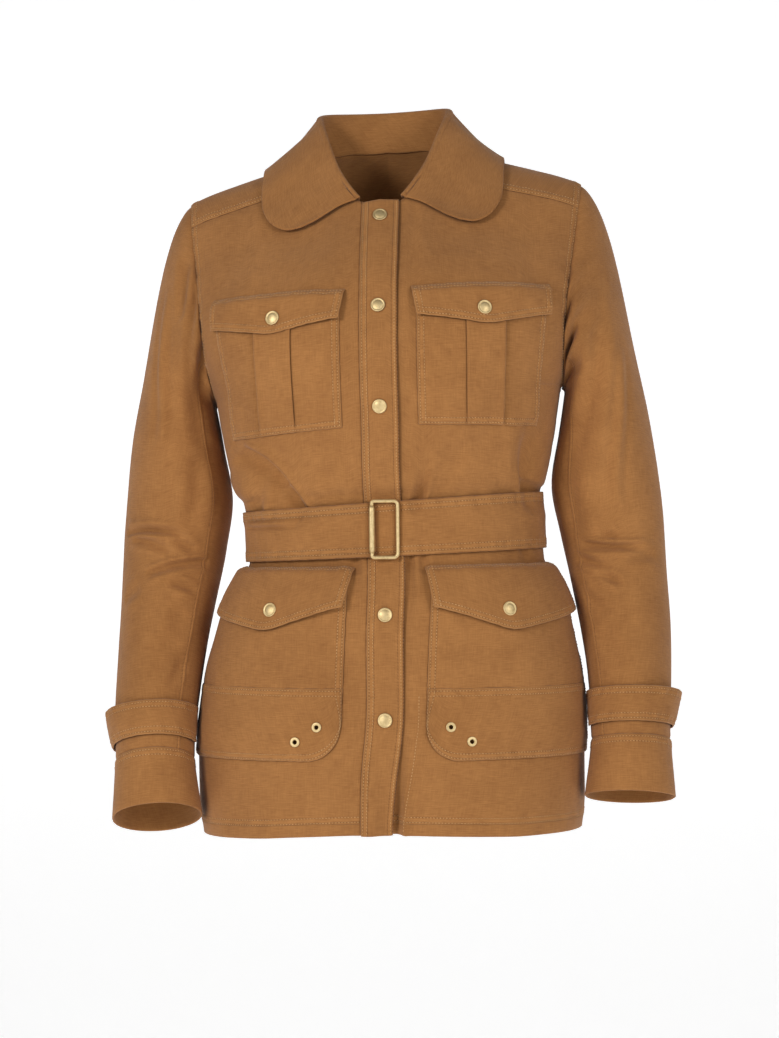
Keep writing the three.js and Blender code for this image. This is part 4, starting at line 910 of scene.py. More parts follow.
def neck_sigma(alpha):
    turn = np.where(alpha < 90, NECK_FRONT_TURN, NECK_BACK_TURN)
    return 90 - np.cos(np.radians(alpha)) * turn


def yoke_cloth():
    """The yoke: over both shoulders, from the front seams to the back seam, neckline inside."""
    back_x = armhole_x(-84)
    back_sigma = sigma_of_z(back_x, BACK_YOKE_Z, True)
    alpha_start = math.degrees(math.acos((90 - YOKE_SIGMA) / NECK_FRONT_TURN))
    s = np.linspace(0, 1, 48)
    sigma = mix(YOKE_SIGMA, back_sigma, s)
    x = armhole_x(CHEST_Z + ARCH * np.sin(np.radians(sigma))) + LAP * 0.8
    alpha = mix(alpha_start, 122, s)
    t = np.linspace(0, 1, 58)[1:]
    x = np.concatenate([x, x[-1] * (1 - t)])
    sigma = np.concatenate([sigma, sigma_of_z(x[48:], BACK_YOKE_Z, True)])
    alpha = np.concatenate([alpha, mix(122, 180, t)])
    side = np.concatenate([-np.ones(len(x)), np.ones(len(x) - 1)])
    x, sigma, alpha = (np.concatenate([a, a[-2::-1]]) for a in (x, sigma, alpha))
    r = np.linspace(0, 1, 48)[:, None]
    neck_x = NECK_HALF_WIDTH * np.sin(np.radians(alpha))
    px = side * mix(neck_x, x, r)
    ps = mix(neck_sigma(alpha), sigma, r)
    bare = Cloth(stand(arch(px, ps)))
    outer = bare.lengths(0)[-1:] - bare.lengths(0)
    seam = np.minimum(bare.edge("first"), bare.edge("last"))
    edge = np.minimum(outer, seam)
    raised = 0.55 * bell((edge - 3) / 6)
    height = raised + pucker(edge, bare.lengths(0) + bare.lengths(1), 1.9)
    return bare.moved(height), edge


def placket_cloth():
    """The placket strip, on top of the right front, from hem to neckline."""
    columns, rows = 25, 216
    share = np.linspace(-1, 1, columns)

    def theta_at(v):
        return BY_HEIGHT.angle(v, placket_x(v) + PLACKET_HALF * share)

    top = top_of_columns(theta_at, columns, 0.0)
    top = np.maximum(top, top.max() - 0.8)
    v = mix(HEM_FRONT_Z - 0.5, top, np.linspace(0, 1, rows)[:, None])
    swing = ease((-600 - v) / 90) * ease(share)
    rise = PLACKET_RISE + 3.8 * swing
    theta = BY_HEIGHT.angle(v, placket_x(v) + PLACKET_HALF * share - 5 * swing)
    cloth = Cloth(stand(torso(theta, v, rise)))
    seam, free = cloth.edge("first"), cloth.edge("last")
    along = cloth.lengths(0)
    height = pucker(seam, along, 0.4) + 0.6 * pucker(free, along, 1.4)
    height = height - 0.5 * bell(seam / 2.2) + 0.6 * np.sin(along / 31 + 0.8) * bell(free / 14)
    return cloth.moved(height), np.minimum(seam, free + 2.0)


def collar_cloth():
    """The collar: each column runs from the neck seam up the stand, over the roll, down the fall."""
    half = np.concatenate([np.linspace(19, 90, 62), np.linspace(90, 180, 44)[1:]])
    alpha = np.concatenate([half, half[-2::-1]])
    side = np.concatenate([-np.ones(len(half)), np.ones(len(half) - 1)])

    def at(name):
        return COLLAR.at(name, alpha)

    lift = COLLAR_THICK / 2 + COLLAR_LIFT
    neck_x = side * NECK_HALF_WIDTH * np.sin(np.radians(alpha))
    sigma = neck_sigma(alpha)
    seam = arch(neck_x, sigma, bare=True)
    into = arch(neck_x * 0.95, 90 + (sigma - 90) * 0.95, -0.7, bare=True)
    foot = arch(neck_x, sigma, -0.7, bare=True) + unit(into - seam) * 1.9
    roll = np.stack([side * at("roll_x"), at("roll_y"), at("roll_z")], -1)
    edge_x = side * at("edge_x")
    blend = ease((alpha - 82) / 8)
    front_sigma = sigma_of_z(edge_x, at("edge_z"), False)
    back_sigma = sigma_of_z(edge_x, at("edge_z"), True)
    edge_sigma = mix(front_sigma, back_sigma, blend)
    up = unit(roll - foot)
    away = arch((neck_x + edge_x) / 2, (sigma + edge_sigma) / 2, bare=True) - seam
    out = unit(away - up * (away * up).sum(-1, keepdims=True))
    tall = np.linalg.norm(roll - foot, axis=-1, keepdims=True)
    radius = np.minimum(COLLAR_ROLL, 0.3 * tall)
    middle = roll - up * radius
    stand_top = middle - out * radius
    line = [mix(foot, stand_top, t) for t in np.linspace(0, 1, 12)]
    for turn in np.radians(np.linspace(165, 15, 9)):
        line.append(middle + out * radius * math.cos(turn) + up * radius * math.sin(turn))
    fall_top = middle + out * radius
    lead = fall_top - arch(neck_x, sigma, lift, bare=True)
    for t in np.linspace(0, 1, 34):
        laid = arch(mix(neck_x, edge_x, t), mix(sigma, edge_sigma, t), lift, bare=True)
        line.append(laid + lead * (1 - t) ** COLLAR_FALL_POWER)
    points = np.stack(line, 0)
    share = np.clip((np.arange(len(line)) - 20) / 34, 0, 1)[:, None]
    wave = 0.7 * np.sin(alpha / 9 + side) + 0.5 * np.sin(alpha / 4.1 + 2 * side)
    cloth = Cloth(stand(points))
    cloth = cloth.moved(share * wave * bell((share - 0.65) / 0.4) + COLLAR_THICK / 2)
    return cloth


def armhole_loop(phi):
    """Armhole by angle: 0 shoulder point, 90 front, 180 underarm, 270 back, even along its run."""
    turn = np.mod(phi, 360)
    behind = turn > 180
    run = np.where(behind, 360 - turn, turn) / 180
    omega = 90 * (1 - np.linspace(0, 1, 91))
    v = CHEST_Z + ARCH * np.sin(np.radians(omega))
    out = np.zeros(np.shape(phi) + (3,))
    for is_back in (False, True):
        theta = armhole_theta(v, is_back)
        p = torso_point(theta, v)
        length = np.concatenate([[0], np.cumsum(np.linalg.norm(np.diff(p, axis=0), axis=1))])
        share = length / length[-1]
        at_theta = np.interp(run, share, theta)
        at_v = np.interp(run, share, v)
        found = torso(at_theta, np.minimum(at_v, -0.3))
        out = np.where((behind == is_back)[..., None], found, out)
    return out


def ring_point(side, phi, r):
    """Sleeve tube: a tilted ellipse at each ring."""
    hand = "right" if side < 0 else "left"

    def at(name):
        return SLEEVE.at(name, r)

    y = at("y_" + hand)
    pitch = np.radians(at("pitch_" + hand))
    c, s = np.cos(np.radians(phi)), np.sin(np.radians(phi))
    x = (at("in_x") + at("out_x")) / 2 + (at("out_x") - at("in_x")) / 2 * c
    z = (at("in_z") + at("out_z")) / 2 + (at("out_z") - at("in_z")) / 2 * c
    forward = at("depth")
    return np.stack(
        np.broadcast_arrays(x, y - forward * np.cos(pitch) * s, z + forward * np.sin(pitch) * s), -1
    )


def sleeve_point(side, phi, w):
    """Sleeve: w -1 to 0 is the cap, a cubic from the armhole to the first ring; then the rings."""
    phi, w = np.broadcast_arrays(np.asarray(phi, float), np.asarray(w, float))
    t = np.clip(w + 1, 0, 1)[..., None]
    start = armhole_loop(phi)
    end = ring_point(side, phi, np.zeros_like(w))
    chord = np.linalg.norm(end - start, axis=-1, keepdims=True)
    c, s = np.cos(np.radians(phi)), np.sin(np.radians(phi))
    leave = unit(np.stack([0.62 + 0.18 * c * c, -0.5 * s, -0.6 + 0.1 * np.maximum(-c, 0)], -1))
    arrive = unit(ring_point(side, phi, np.full_like(w, 0.2)) - end)
    cap = (
        start * (2 * t**3 - 3 * t**2 + 1)
        + leave * chord * 0.63 * (t**3 - 2 * t**2 + t)
        + end * (3 * t**2 - 2 * t**3)
        + arrive * chord * 1.05 * (t**3 - t**2)
    )
    return np.where((w < 0)[..., None], cap, ring_point(side, phi, np.maximum(w, 0)))


SLEEVE_CHART = {"phi": 0.87, "w": 50.0, "cap": 95.0}


def sleeve_relief(side, phi, w):
    """Folds of a sleeve in a flat chart of its angle and length, both in mm."""
    turn = np.mod(phi + 40, 360) - 40

    def down(value):
        value = np.asarray(value, float)
        return np.where(value < 0, value * SLEEVE_CHART["cap"], value * SLEEVE_CHART["w"])

    rows = SLEEVE_FOLDS.rows.copy()
    names = SLEEVE_FOLDS.names
    for name in ("phi", "to_phi"):
        rows[:, names.index(name)] *= SLEEVE_CHART["phi"]
    for name in ("w", "to_w"):
        rows[:, names.index(name)] = down(rows[:, names.index(name)])
    chart = Table(" ".join(names), *rows)
    a, b = turn * SLEEVE_CHART["phi"], down(w)
    total = fold_depth(a, b, chart, chart.column("side") == side)
    return 1.4 * total + drift(a * 1.3, b * 0.8, side * 1.7) * ease((w + 1) / 0.4)


def sleeve_cloth(side, start, end, columns, over):
    """One panel of a sleeve between two seams; over is 1 where it laps and -1 where it is lapped."""
    phi = np.linspace(start, end, columns)
    arm = (CUFF_RING + 0.06) * graded(178, 0.42, 0.14, 1.6)
    w = np.concatenate([np.linspace(-1, 0, 48)[:-1], arm])[:, None]
    p = sleeve_point(side, phi, w)
    cloth = Cloth(stand_sleeve(p, side), flip=side < 0)
    near = np.minimum(cloth.edge("first"), cloth.edge("last"))
    sink = -1.1 * (1 - ease((w + 1) / 0.07)) - 1.1 * ease((w - CUFF_RING + 0.12) / 0.1)
    height = sleeve_relief(side, phi, w) * ease((w + 1) / 0.1) * ease((CUFF_RING - w) / 0.9)
    height = height + sink + over * 0.45 * bell(near / 3)
    cloth = cloth.moved(height)
    cloth.level = -1
    return cloth, near


def cuff_cloth(side):
    phi = np.linspace(0, 360, 97)[:-1]
    w = np.linspace(CUFF_RING, 9, 24)[:, None]
    cloth = Cloth(stand_sleeve(sleeve_point(side, phi, w), side), flip=side < 0, wrap=True)
    seam = cloth.lengths(0)
    along = np.radians(phi) * 45
    waves = 0.5 * np.sin(along / 17 + side) * ease((w - CUFF_RING) / 1)
    height = 0.6 + pucker(seam, along, 0.3 * side) + waves - 0.5 * bell(seam / 2)
    return cloth.moved(height), seam


def strap_cloth(side):
    phi = np.linspace(STRAP["from"], STRAP["to"], 110)
    s = np.linspace(0, 1, 24)[:, None]
    w = mix(STRAP["bottom"], STRAP["top"], s)
    proud = STRAP["stand_off"] * s * np.maximum(np.cos(np.radians(phi)), 0) ** 2
    cloth = Cloth(stand_sleeve(sleeve_point(side, phi, w), side), flip=side > 0)
    cloth = Cloth((cloth.p + cloth.n * (STRAP["gap"] + 2.0 + proud)[..., None]), cloth.flip)
    edge = cloth.edge("bottom", "top")
    height = pucker(edge, cloth.lengths(1), side) + 0.5 * bell((edge - 13) / 9)
    return cloth.moved(height), edge


def laid_edge(edge, lift=0.8):
    """A patch sinks to its panel along its sewn edges."""
    return -lift * bell(edge / 2.4)


def chest_pocket_cloths(side):
    """Chest pocket and the raised box of its pleat, on the front."""
    size = CHEST_POCKET
    s = np.linspace(0, 1, 54)[:, None]

    def low_at(u):
        across = (u - size["inner"]) / (size["outer"] - size["inner"])
        return mix(size["bottom_inner"], size["bottom_outer"], across)

    u = np.linspace(size["inner"], size["outer"], 56)
    z = mix(low_at(u), size["top"], s)
    cloth = Cloth(stand(on_body(side, u, z, np.full(z.shape, CHEST_POCKET_RISE))), flip=side < 0)
    edge = cloth.edge("first", "last", "bottom")
    height = laid_edge(edge) + pucker(edge, cloth.lengths(0) + cloth.lengths(1), side + 0.2)
    height = height - 0.9 * bell((u - PLEAT["outer"] - 1.5) / 2.6)
    cloth = cloth.moved(height)
    u = np.linspace(PLEAT["inner"], PLEAT["outer"], 18)
    low = low_at(u)
    z = mix(low + 0.4, size["top"], s)
    rise = 2.35 + PLEAT["rise"] * ease((z - low) / 16)
    box = Cloth(stand(on_body(side, u, z, rise)), flip=side < 0)
    below = box.edge("bottom")
    crown = 0.25 * np.sin(np.pi * (u - PLEAT["inner"]) / (PLEAT["outer"] - PLEAT["inner"]))
    crown = crown + 1.2 * bell((u - PLEAT["outer"]) / 5) + 0.4 * bell((u - PLEAT["inner"]) / 4)
    box = box.moved(crown * ease(below / 20) + pucker(below, u + 0 * z, 0.9))
    return cloth, edge, box, below


def flap_edge_z(u, size, outer):
    """Lower edge of a pointed flap: two nearly straight slopes, a little rounded at the point."""
    inner, point, point_at = size["inner"], size["point"], size["point_at"]
    to_point = np.clip((u - inner) / (point_at - inner), 0, 1) ** FLAP_SLOPE_POWER
    from_point = np.clip((outer - u) / (outer - point_at), 0, 1) ** FLAP_SLOPE_POWER
    inner_slope = mix(size["corner_inner"], point, to_point)
    z = np.where(u < point_at, inner_slope, mix(size["corner_outer"], point, from_point))
    return z + 1.1 * bell((u - point_at) / 5)


def chest_flap_cloth(side):
    size = CHEST_FLAP
    u = np.linspace(size["inner"], size["outer"], 60)
    z = mix(flap_edge_z(u, size, size["outer"]), size["top"], np.linspace(0, 1, 22)[:, None])
    rise = mix(1.9, CHEST_FLAP_RISE, ease((size["top"] - z) / 8))
    lean = size["lean"] * (size["top"] - z) / (size["top"] - size["corner_inner"])
    lean = lean * ((size["outer"] - u) / (size["outer"] - size["inner"])) ** 2
    cloth = Cloth(stand(on_body(side, u + lean, z, rise)), flip=side < 0)
    edge = cloth.edge("first", "last", "bottom", "top")
    free = cloth.edge("bottom")
    near_snap = bell(np.hypot(u - CHEST_SNAP[0], z - CHEST_SNAP[1]) / 14)
    waves = (0.9 * np.sin(u / 15 + 0.6 * side) + 0.9) * bell(free / 12)
    waves = waves + 0.7 * bell(cloth.edge("first") / 9)
    height = pucker(edge, u + z, side * 0.5) + waves - 0.9 * near_snap - 0.7 * bell(cloth.edge("top") / 2)
    return cloth.moved(height), edge


def pocket_edge(z):
    return BY_LEVEL.distance(z, 90) - LOWER_POCKET["side_gap"]


def pocket_bulge(share, z):
    size = LOWER_POCKET
    across = np.sin(np.pi * np.clip(share, 0, 1)) ** 0.7
    down = np.clip((z - size["bottom"]) / 30, 0, 1) * np.clip((size["top"] + 25 - z) / 40, 0, 1)
    return 1.1 + size["bulge"] * across * np.sqrt(down)


def lower_flap_seat(share, z):
    """Height on which a lower flap lies: the pocket's face and the gap under the flap."""
    return pocket_bulge(share, z) + 1.4 + 1.1 + 0.6


def lower_pocket_cloth(side, base):
    """Upper piece or base of a lower pocket; the base has a rounded inner corner."""
    size = LOWER_POCKET
    wide = pocket_edge(size["bottom"]) - size["inner"]
    if base:
        share = np.concatenate([np.linspace(0, 0.3, 34)[:-1], np.linspace(0.3, 1, 40)])
        along = np.minimum(share * wide / size["corner"], 1)
        low = size["bottom"] + size["corner"] * (1 - np.sqrt(1 - (1 - along) ** 2))
        z = mix(low, size["seam"] + 0.6, np.linspace(0, 1, 34)[:, None])
    else:
        share = np.linspace(0, 1, 60)
        z = mix(size["seam"] - 3, size["top"], np.linspace(0, 1, 42)[:, None]) + 0 * share
    u = mix(size["inner"], pocket_edge(z), share)
    rise = pocket_bulge(share, z) + LOWER_POCKET_RISE
    if not base:
        rise = rise - 0.9 * ease((size["seam"] + 4 - z) / 4)
    cloth = Cloth(stand(on_body(side, u, z, rise)), flip=side < 0)
    names = ("first", "last", "bottom", "top") if base else ("first", "last")
    edge = cloth.edge(*names)
    sewn = cloth.edge("first", "last", "bottom") if base else edge
    height = laid_edge(sewn, 0.7) + pucker(edge, u + z, side + 1.1)
    height = height + 0.5 * drift(u * 1.7, z * 1.4, side + 0.3) * ease(edge / 15)
    return cloth.moved(height), edge


def lower_flap_cloth(side):
    size = LOWER_FLAP
    share = np.linspace(0, 1, 66)
    reach = pocket_edge(-468.0) + 1
    at_point = mix(size["inner"], reach, share)
    s = np.linspace(0, 1, 30)[:, None]
    z = mix(flap_edge_z(at_point, size, reach), size["top"], s)
    u = mix(size["inner"], pocket_edge(z) + mix(1, -1, s), share)
    u = u + size["lean"] * (1 - s) * (1 - share) ** 2
    drop = ease((size["top"] - z) / 8)
    lift = (1 - s) * np.where(share < 0.5, 4 * (1 - 2 * share), 1.5 * (2 * share - 1))
    under = lower_flap_seat(share, np.minimum(z, LOWER_POCKET["top"]))
    rise = mix(1.1, under + lift, drop) + LOWER_FLAP_FACE
    cloth = Cloth(stand(on_body(side, u, z, rise)), flip=side < 0)
    edge = cloth.edge("first", "last", "bottom", "top")
    free = cloth.edge("bottom")
    near_snap = bell(np.hypot(u - LOWER_SNAP[0], z - LOWER_SNAP[1]) / 15)
    waves = (0.9 * np.sin(u / 17 + 1.1 * side) + 0.9) * bell(free / 14)
    height = pucker(edge, u + z, side * 0.8) + waves - 0.9 * near_snap - 0.8 * bell(cloth.edge("top") / 2)
    return cloth.moved(height), edge


BELT_GIRTH = 2 * float(BY_LEVEL.distance(BELT["z"], 180))


def belt_place(u, height, dz):
    """Point on the belt by distance round the waist, height off the body and height on the strap."""
    turn = np.where(u > BELT_GIRTH / 2, u - BELT_GIRTH, u)
    theta = BY_LEVEL.angle(BELT["z"], turn)
    x = torso_point(theta, BELT["z"])[..., 0]
    return torso(theta, BELT["z"] + dz + BELT["tilt"] * x, height, 0.25)


def belt_cloth():
    """The belt: one strap from its hidden tip, round the waist and on top of itself to the buckle."""
    low = BELT["inner"] + BELT["thick"] / 2
    high = low + BELT["layer"]
    end = BELT_GIRTH + BUCKLE["x"] - BUCKLE["width"] / 2 + 5
    u = np.linspace(BELT["tip"], end, 420)
    turn = np.where(u > BELT_GIRTH / 2, u - BELT_GIRTH, u)
    over_placket = 1.2 * ease((38 - np.abs(turn + 3)) / 14)
    height = mix(low, high, ease((u - BELT_GIRTH + 158) / 36)) + over_placket
    dz = np.linspace(-0.5, 0.5, 36)[:, None] * BELT["width"]
    lead_in = ease((u - BELT_GIRTH + 190) / 30)
    folds = np.zeros((36, len(u)))
    for start, stop, z0, z1, width, depth in BELT_FOLDS.rows:
        t = (turn - start) / (stop - start)
        at = mix(z0, z1, np.clip(t, 0, 1))
        reach = np.clip(4 * (t + 0.05) * (1.05 - t), 0, 1) ** 0.5
        folds = folds + depth * bell((dz - at) / width) * reach * (1 if start > 0 else lead_in)
    folds = np.where((u < 30) & (u > -130), 0, folds)  # under the outer layer
    crown = 0.35 * (1 - (2 * dz / BELT["width"]) ** 2)
    wave = 0.5 * np.sin(u / 26 + 0.7) * (dz / BELT["width"]) * 2
    rise = height + BELT["thick"] / 2 + folds + crown + wave * (np.abs(turn) > 40)
    cloth = Cloth(stand(belt_place(u + 0 * dz, rise, dz)))
    edge = cloth.edge("bottom", "top") - 1.6
    return cloth.moved(pucker(np.abs(edge), u + 0 * dz, 0.5)), np.maximum(edge, -1.6)


def place_on(centre, right, up):
    """Matrix that sets a small piece on three points of a surface: z out, y up, in mm."""
    x = unit(right - centre)
    z = unit(np.cross(x, up - centre))
    y = np.cross(z, x)
    return np.stack([x, y, z], 0), centre


def lathe(profile, segments, place):
    """Turned piece: the profile (radius, height) carried round its axis, set on its place."""
    turn = np.linspace(0, 2 * np.pi, segments + 1)[:-1]
    r, h = profile[:, 0:1], profile[:, 1:2]
    local = np.stack(np.broadcast_arrays(r * np.cos(turn), r * np.sin(turn), h), -1)
    axes, centre = place
    grid = local @ axes + centre
    rows = len(profile)
    number = np.arange(rows * segments).reshape(rows, segments)
    wrapped = np.concatenate([number, number[:, :1]], axis=1)
    faces = np.stack([wrapped[:-1, :-1], wrapped[:-1, 1:], wrapped[1:, 1:], wrapped[1:, :-1]], -1)
    return grid.reshape(-1, 3), faces.reshape(-1, 4)


def arc(radius, centre, start, stop, count):
    turn = np.radians(np.linspace(start, stop, count))
    return np.stack([centre[0] + radius * np.cos(turn), centre[1] + radius * np.sin(turn)], -1)


def snap_profile():
    """Cap of a snap: rolled rim, shallow ring groove and a low dome."""
    rim = arc(0.75, (6.45, 0.95), -90, 110, 12)
    groove = np.array([[5.75, 1.5], [5.45, 1.32], [5.1, 1.34]])
    height = 1.55 + 0.85 * (1 - (np.linspace(4.8, 0, 14) / 4.8) ** 2)
    dome = np.stack([np.linspace(4.8, 0.02, 14), height], -1)
    ring = 0.09 * bell((dome[:, 0:1] - 3.1) / 0.28)
    dome = dome + np.concatenate([np.zeros_like(ring), ring], 1)
    return np.concatenate([[[0.02, 0.3], [5.8, 0.3]], rim, groove, dome])


def eyelet_profile():
    """Rolled eyelet: barrel down through the cloth and a rounded flange on it."""
    barrel = np.array([[2.1, 0.35], [2.1, -1.4], [2.65, -1.4], [2.65, 0.1]])
    flange = arc(0.55, (4.35, 0.55), -90, 90, 9)
    inner = arc(0.6, (2.7, 0.55), 90, 180, 7)
    return np.concatenate([barrel, flange, inner, [[2.1, 0.35]]])


def brass_piece(name, node, points, faces):
    thing = Make.mesh(name, points, faces.tolist())
    thing.data.materials.append(finish("brass"))
    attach(thing, "root")
    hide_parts(node)
    return thing


def tube(path, radius, up, segments=14, closed=True):
    """Round wire along a path of points: rings at right angles to it, closed on itself."""
    if closed:
        along = unit(np.roll(path, -1, 0) - np.roll(path, 1, 0))
    else:
        along = unit(np.gradient(path, axis=0))
    side = unit(np.cross(along, up))
    high = np.cross(side, along)
    turn = np.linspace(0, 2 * np.pi, segments + 1)[:-1]
    radius = np.broadcast_to(np.asarray(radius, float).reshape(-1, 1, 1), (len(path), 1, 1))
    ring = side[:, None] * np.cos(turn)[None, :, None] + high[:, None] * np.sin(turn)[None, :, None]
    points = path[:, None] + ring * radius
    number = np.arange(len(path) * segments).reshape(len(path), segments)
    wrapped = np.concatenate([number, number[:, :1]], axis=1)
    if closed:
        wrapped = np.concatenate([wrapped, wrapped[:1]])
    faces = np.stack([wrapped[:-1, :-1], wrapped[1:, :-1], wrapped[1:, 1:], wrapped[:-1, 1:]], -1)
    return points.reshape(-1, 3), faces.reshape(-1, 4)


def buckle_arrays():
    """Buckle: a rounded rectangle of wire with a roller tube on its right-hand bar."""
    b = BUCKLE
    half_wide, half_high = b["width"] / 2 - b["wire"], b["height"] / 2 - b["wire"]
    left = -b["width"] / 2 + b["bar"]
    corner, small = b["corner"], b["small_corner"]
    corners = [
        (half_wide - corner, half_high - corner, 90, 0),
        (half_wide - corner, -half_high + corner, 0, -90),
        (left + small, -half_high + small, -90, -180),
        (left + small, half_high - small, 180, 90),
    ]
    pieces = []
    for k, (x, z, start, stop) in enumerate(corners):
        pieces.append(arc(corner if k < 2 else small, (x, z), start, stop, 9))
    loop = np.concatenate(pieces)
    closed = np.concatenate([loop, loop[:1]])
    run = np.concatenate([[0], np.cumsum(np.linalg.norm(np.diff(closed, axis=0), axis=1))])
    places = np.linspace(0, run[-1], 181)[:-1]
    loop = np.stack([np.interp(places, run, closed[:, k]) for k in range(2)], -1)
    height = mix(b["left"], b["right"], loop[:, 0] / b["width"] + 0.5)
    path = np.stack([loop[:, 0], loop[:, 1], height], -1)
    wire, wire_faces = tube(path, b["wire"], np.array([0.0, 0.0, 1.0]))
    z = np.linspace(-half_high + 4.4, half_high - 4.4, 15)
    radius = b["bar"] - 0.55 * bell((np.abs(z) - z[-1]) / 0.9)
    z = np.concatenate([z[:1], z, z[-1:]])
    radius = np.concatenate([[b["wire"]], radius, [b["wire"]]])
    bar_height = mix(b["left"], b["right"], left / b["width"] + 0.5)
    bar = np.stack([np.full_like(z, left), z, np.full_like(z, bar_height)], -1)
    apart = np.linspace(0, 1e-4, len(z))[:, None] * np.array([0, 1, 0])
    roller, roller_faces = tube(bar + apart, radius, np.array([0.0, 0.0, 1.0]), 24, closed=False)
    centre_theta = BY_LEVEL.angle(BELT["z"], b["x"])
    origin = stand(torso(centre_theta, np.array(BELT["z"] + BELT["tilt"] * b["x"]), 0.0))
    tilt = math.radians(b["tilt"])
    right = origin + np.array([math.cos(tilt), 0, math.sin(tilt)])
    up = stand(torso(centre_theta, np.array(BELT["z"] + 30.0), 0.0))
    axes, centre = place_on(origin, right, up)
    points = np.concatenate([wire, roller]) @ axes + centre
    return points, np.concatenate([wire_faces, roller_faces + len(wire)])


def stitch_arrays(lines, length, gap, radius):
    """Stitches along lines: small spindles that dip into the cloth at both ends."""
    centres, along, normals = [], [], []
    for line, normal in lines:
        step = np.linalg.norm(np.diff(line, axis=0), axis=1)
        run = np.concatenate([[0], np.cumsum(step)])
        count = int((run[-1] + gap) // (length + gap))
        if count < 1:
            continue
        places = (np.arange(count) + 0.5) * run[-1] / count

        def read(values, at):
            return np.stack([np.interp(at, run, values[:, k]) for k in range(3)], -1)

        centres.append(read(line, places))
        along.append(read(line, places + length / 2) - read(line, places - length / 2))
        normals.append(read(normal, places))
    centres, along, normals = (np.concatenate(a) for a in (centres, along, normals))
    along = unit(along)
    side = unit(np.cross(along, normals))
    up = np.cross(side, along)
    sides, stations = 4, np.array([-0.5, 0.0, 0.5])
    width = np.array([0.55, 1.15, 0.55])
    lift = np.array([-0.35, 0.5, -0.35])
    turn = np.linspace(0, 2 * np.pi, sides + 1)[:-1]
    x = np.repeat(stations * length, sides)
    y = (width[:, None] * np.cos(turn)).ravel() * radius
    z = (width[:, None] * np.sin(turn) + lift[:, None]).ravel() * radius
    points = (
        centres[:, None]
        + along[:, None] * x[None, :, None]
        + side[:, None] * y[None, :, None]
        + up[:, None] * z[None, :, None]
    )
    number = np.arange(len(x)).reshape(len(stations), sides)
    wrapped = np.concatenate([number, number[:, :1]], axis=1)
    quads = np.stack([wrapped[:-1, :-1], wrapped[1:, :-1], wrapped[1:, 1:], wrapped[:-1, 1:]], -1)
    quads = (quads.reshape(-1, 4)[None] + (np.arange(len(centres)) * len(x))[:, None, None]).reshape(-1, 4)
    return points.reshape(-1, 3), quads


def socket(group, name, kind, default=None, into="INPUT"):
    """Adds a named input or output to a shader group."""
    made = group.interface.new_socket(name=name, in_out=into, socket_type="NodeSocket" + kind)
    if default is not None:
        made.default_value = default


def give(group, n, **values):
    """Outputs of a shader group with the values that they carry."""
    for name in values:
        socket(group, name, "Color" if name == "Colour" else "Float", into="OUTPUT")
    out = n.add("NodeGroupOutput").inputs
    for name, value in values.items():
        group.links.new(value, out[name])
    return group


class Nodes:
    """Shader nodes of one tree, added and joined by short calls."""

    def __init__(self, tree):
        self.tree = tree

    def add(self, kind, values=None, **settings):
        node = self.tree.nodes.new(kind)
        for name, value in settings.items():
            setattr(node, name, value)
        for name, value in (values or {}).items():
            if isinstance(value, bpy.types.NodeSocket):
                self.tree.links.new(value, node.inputs[name])
            else:
                node.inputs[name].default_value = value
        return node

    def math(self, operation, a, b=0.0, c=0.0, clamp=False):
        values = {0: a, 1: b}
        if operation in ("MULTIPLY_ADD", "SMOOTH_MIN", "COMPARE"):
            values[2] = c
        return self.add("ShaderNodeMath", values, operation=operation, use_clamp=clamp).outputs[0]

    def blend(self, share, a, b):
        node = self.add("ShaderNodeMix", {0: share}, data_type="RGBA")
        for index, value in ((6, a), (7, b)):
            if isinstance(value, bpy.types.NodeSocket):
                self.tree.links.new(value, node.inputs[index])
            else:
                node.inputs[index].default_value = value
        return node.outputs[2]

    def noise(self, vector, scale, detail=2.0, roughness=0.5):
        values = {"Vector": vector, "Scale": scale, "Detail": detail, "Roughness": roughness}
        return self.add("ShaderNodeTexNoise", values).outputs["Fac"]

    def stretched(self, vector, x, y, z=1.0):
        node = self.add("ShaderNodeMapping", {"Vector": vector})
        node.inputs["Scale"].default_value = (x, y, z)
        return node.outputs["Vector"]


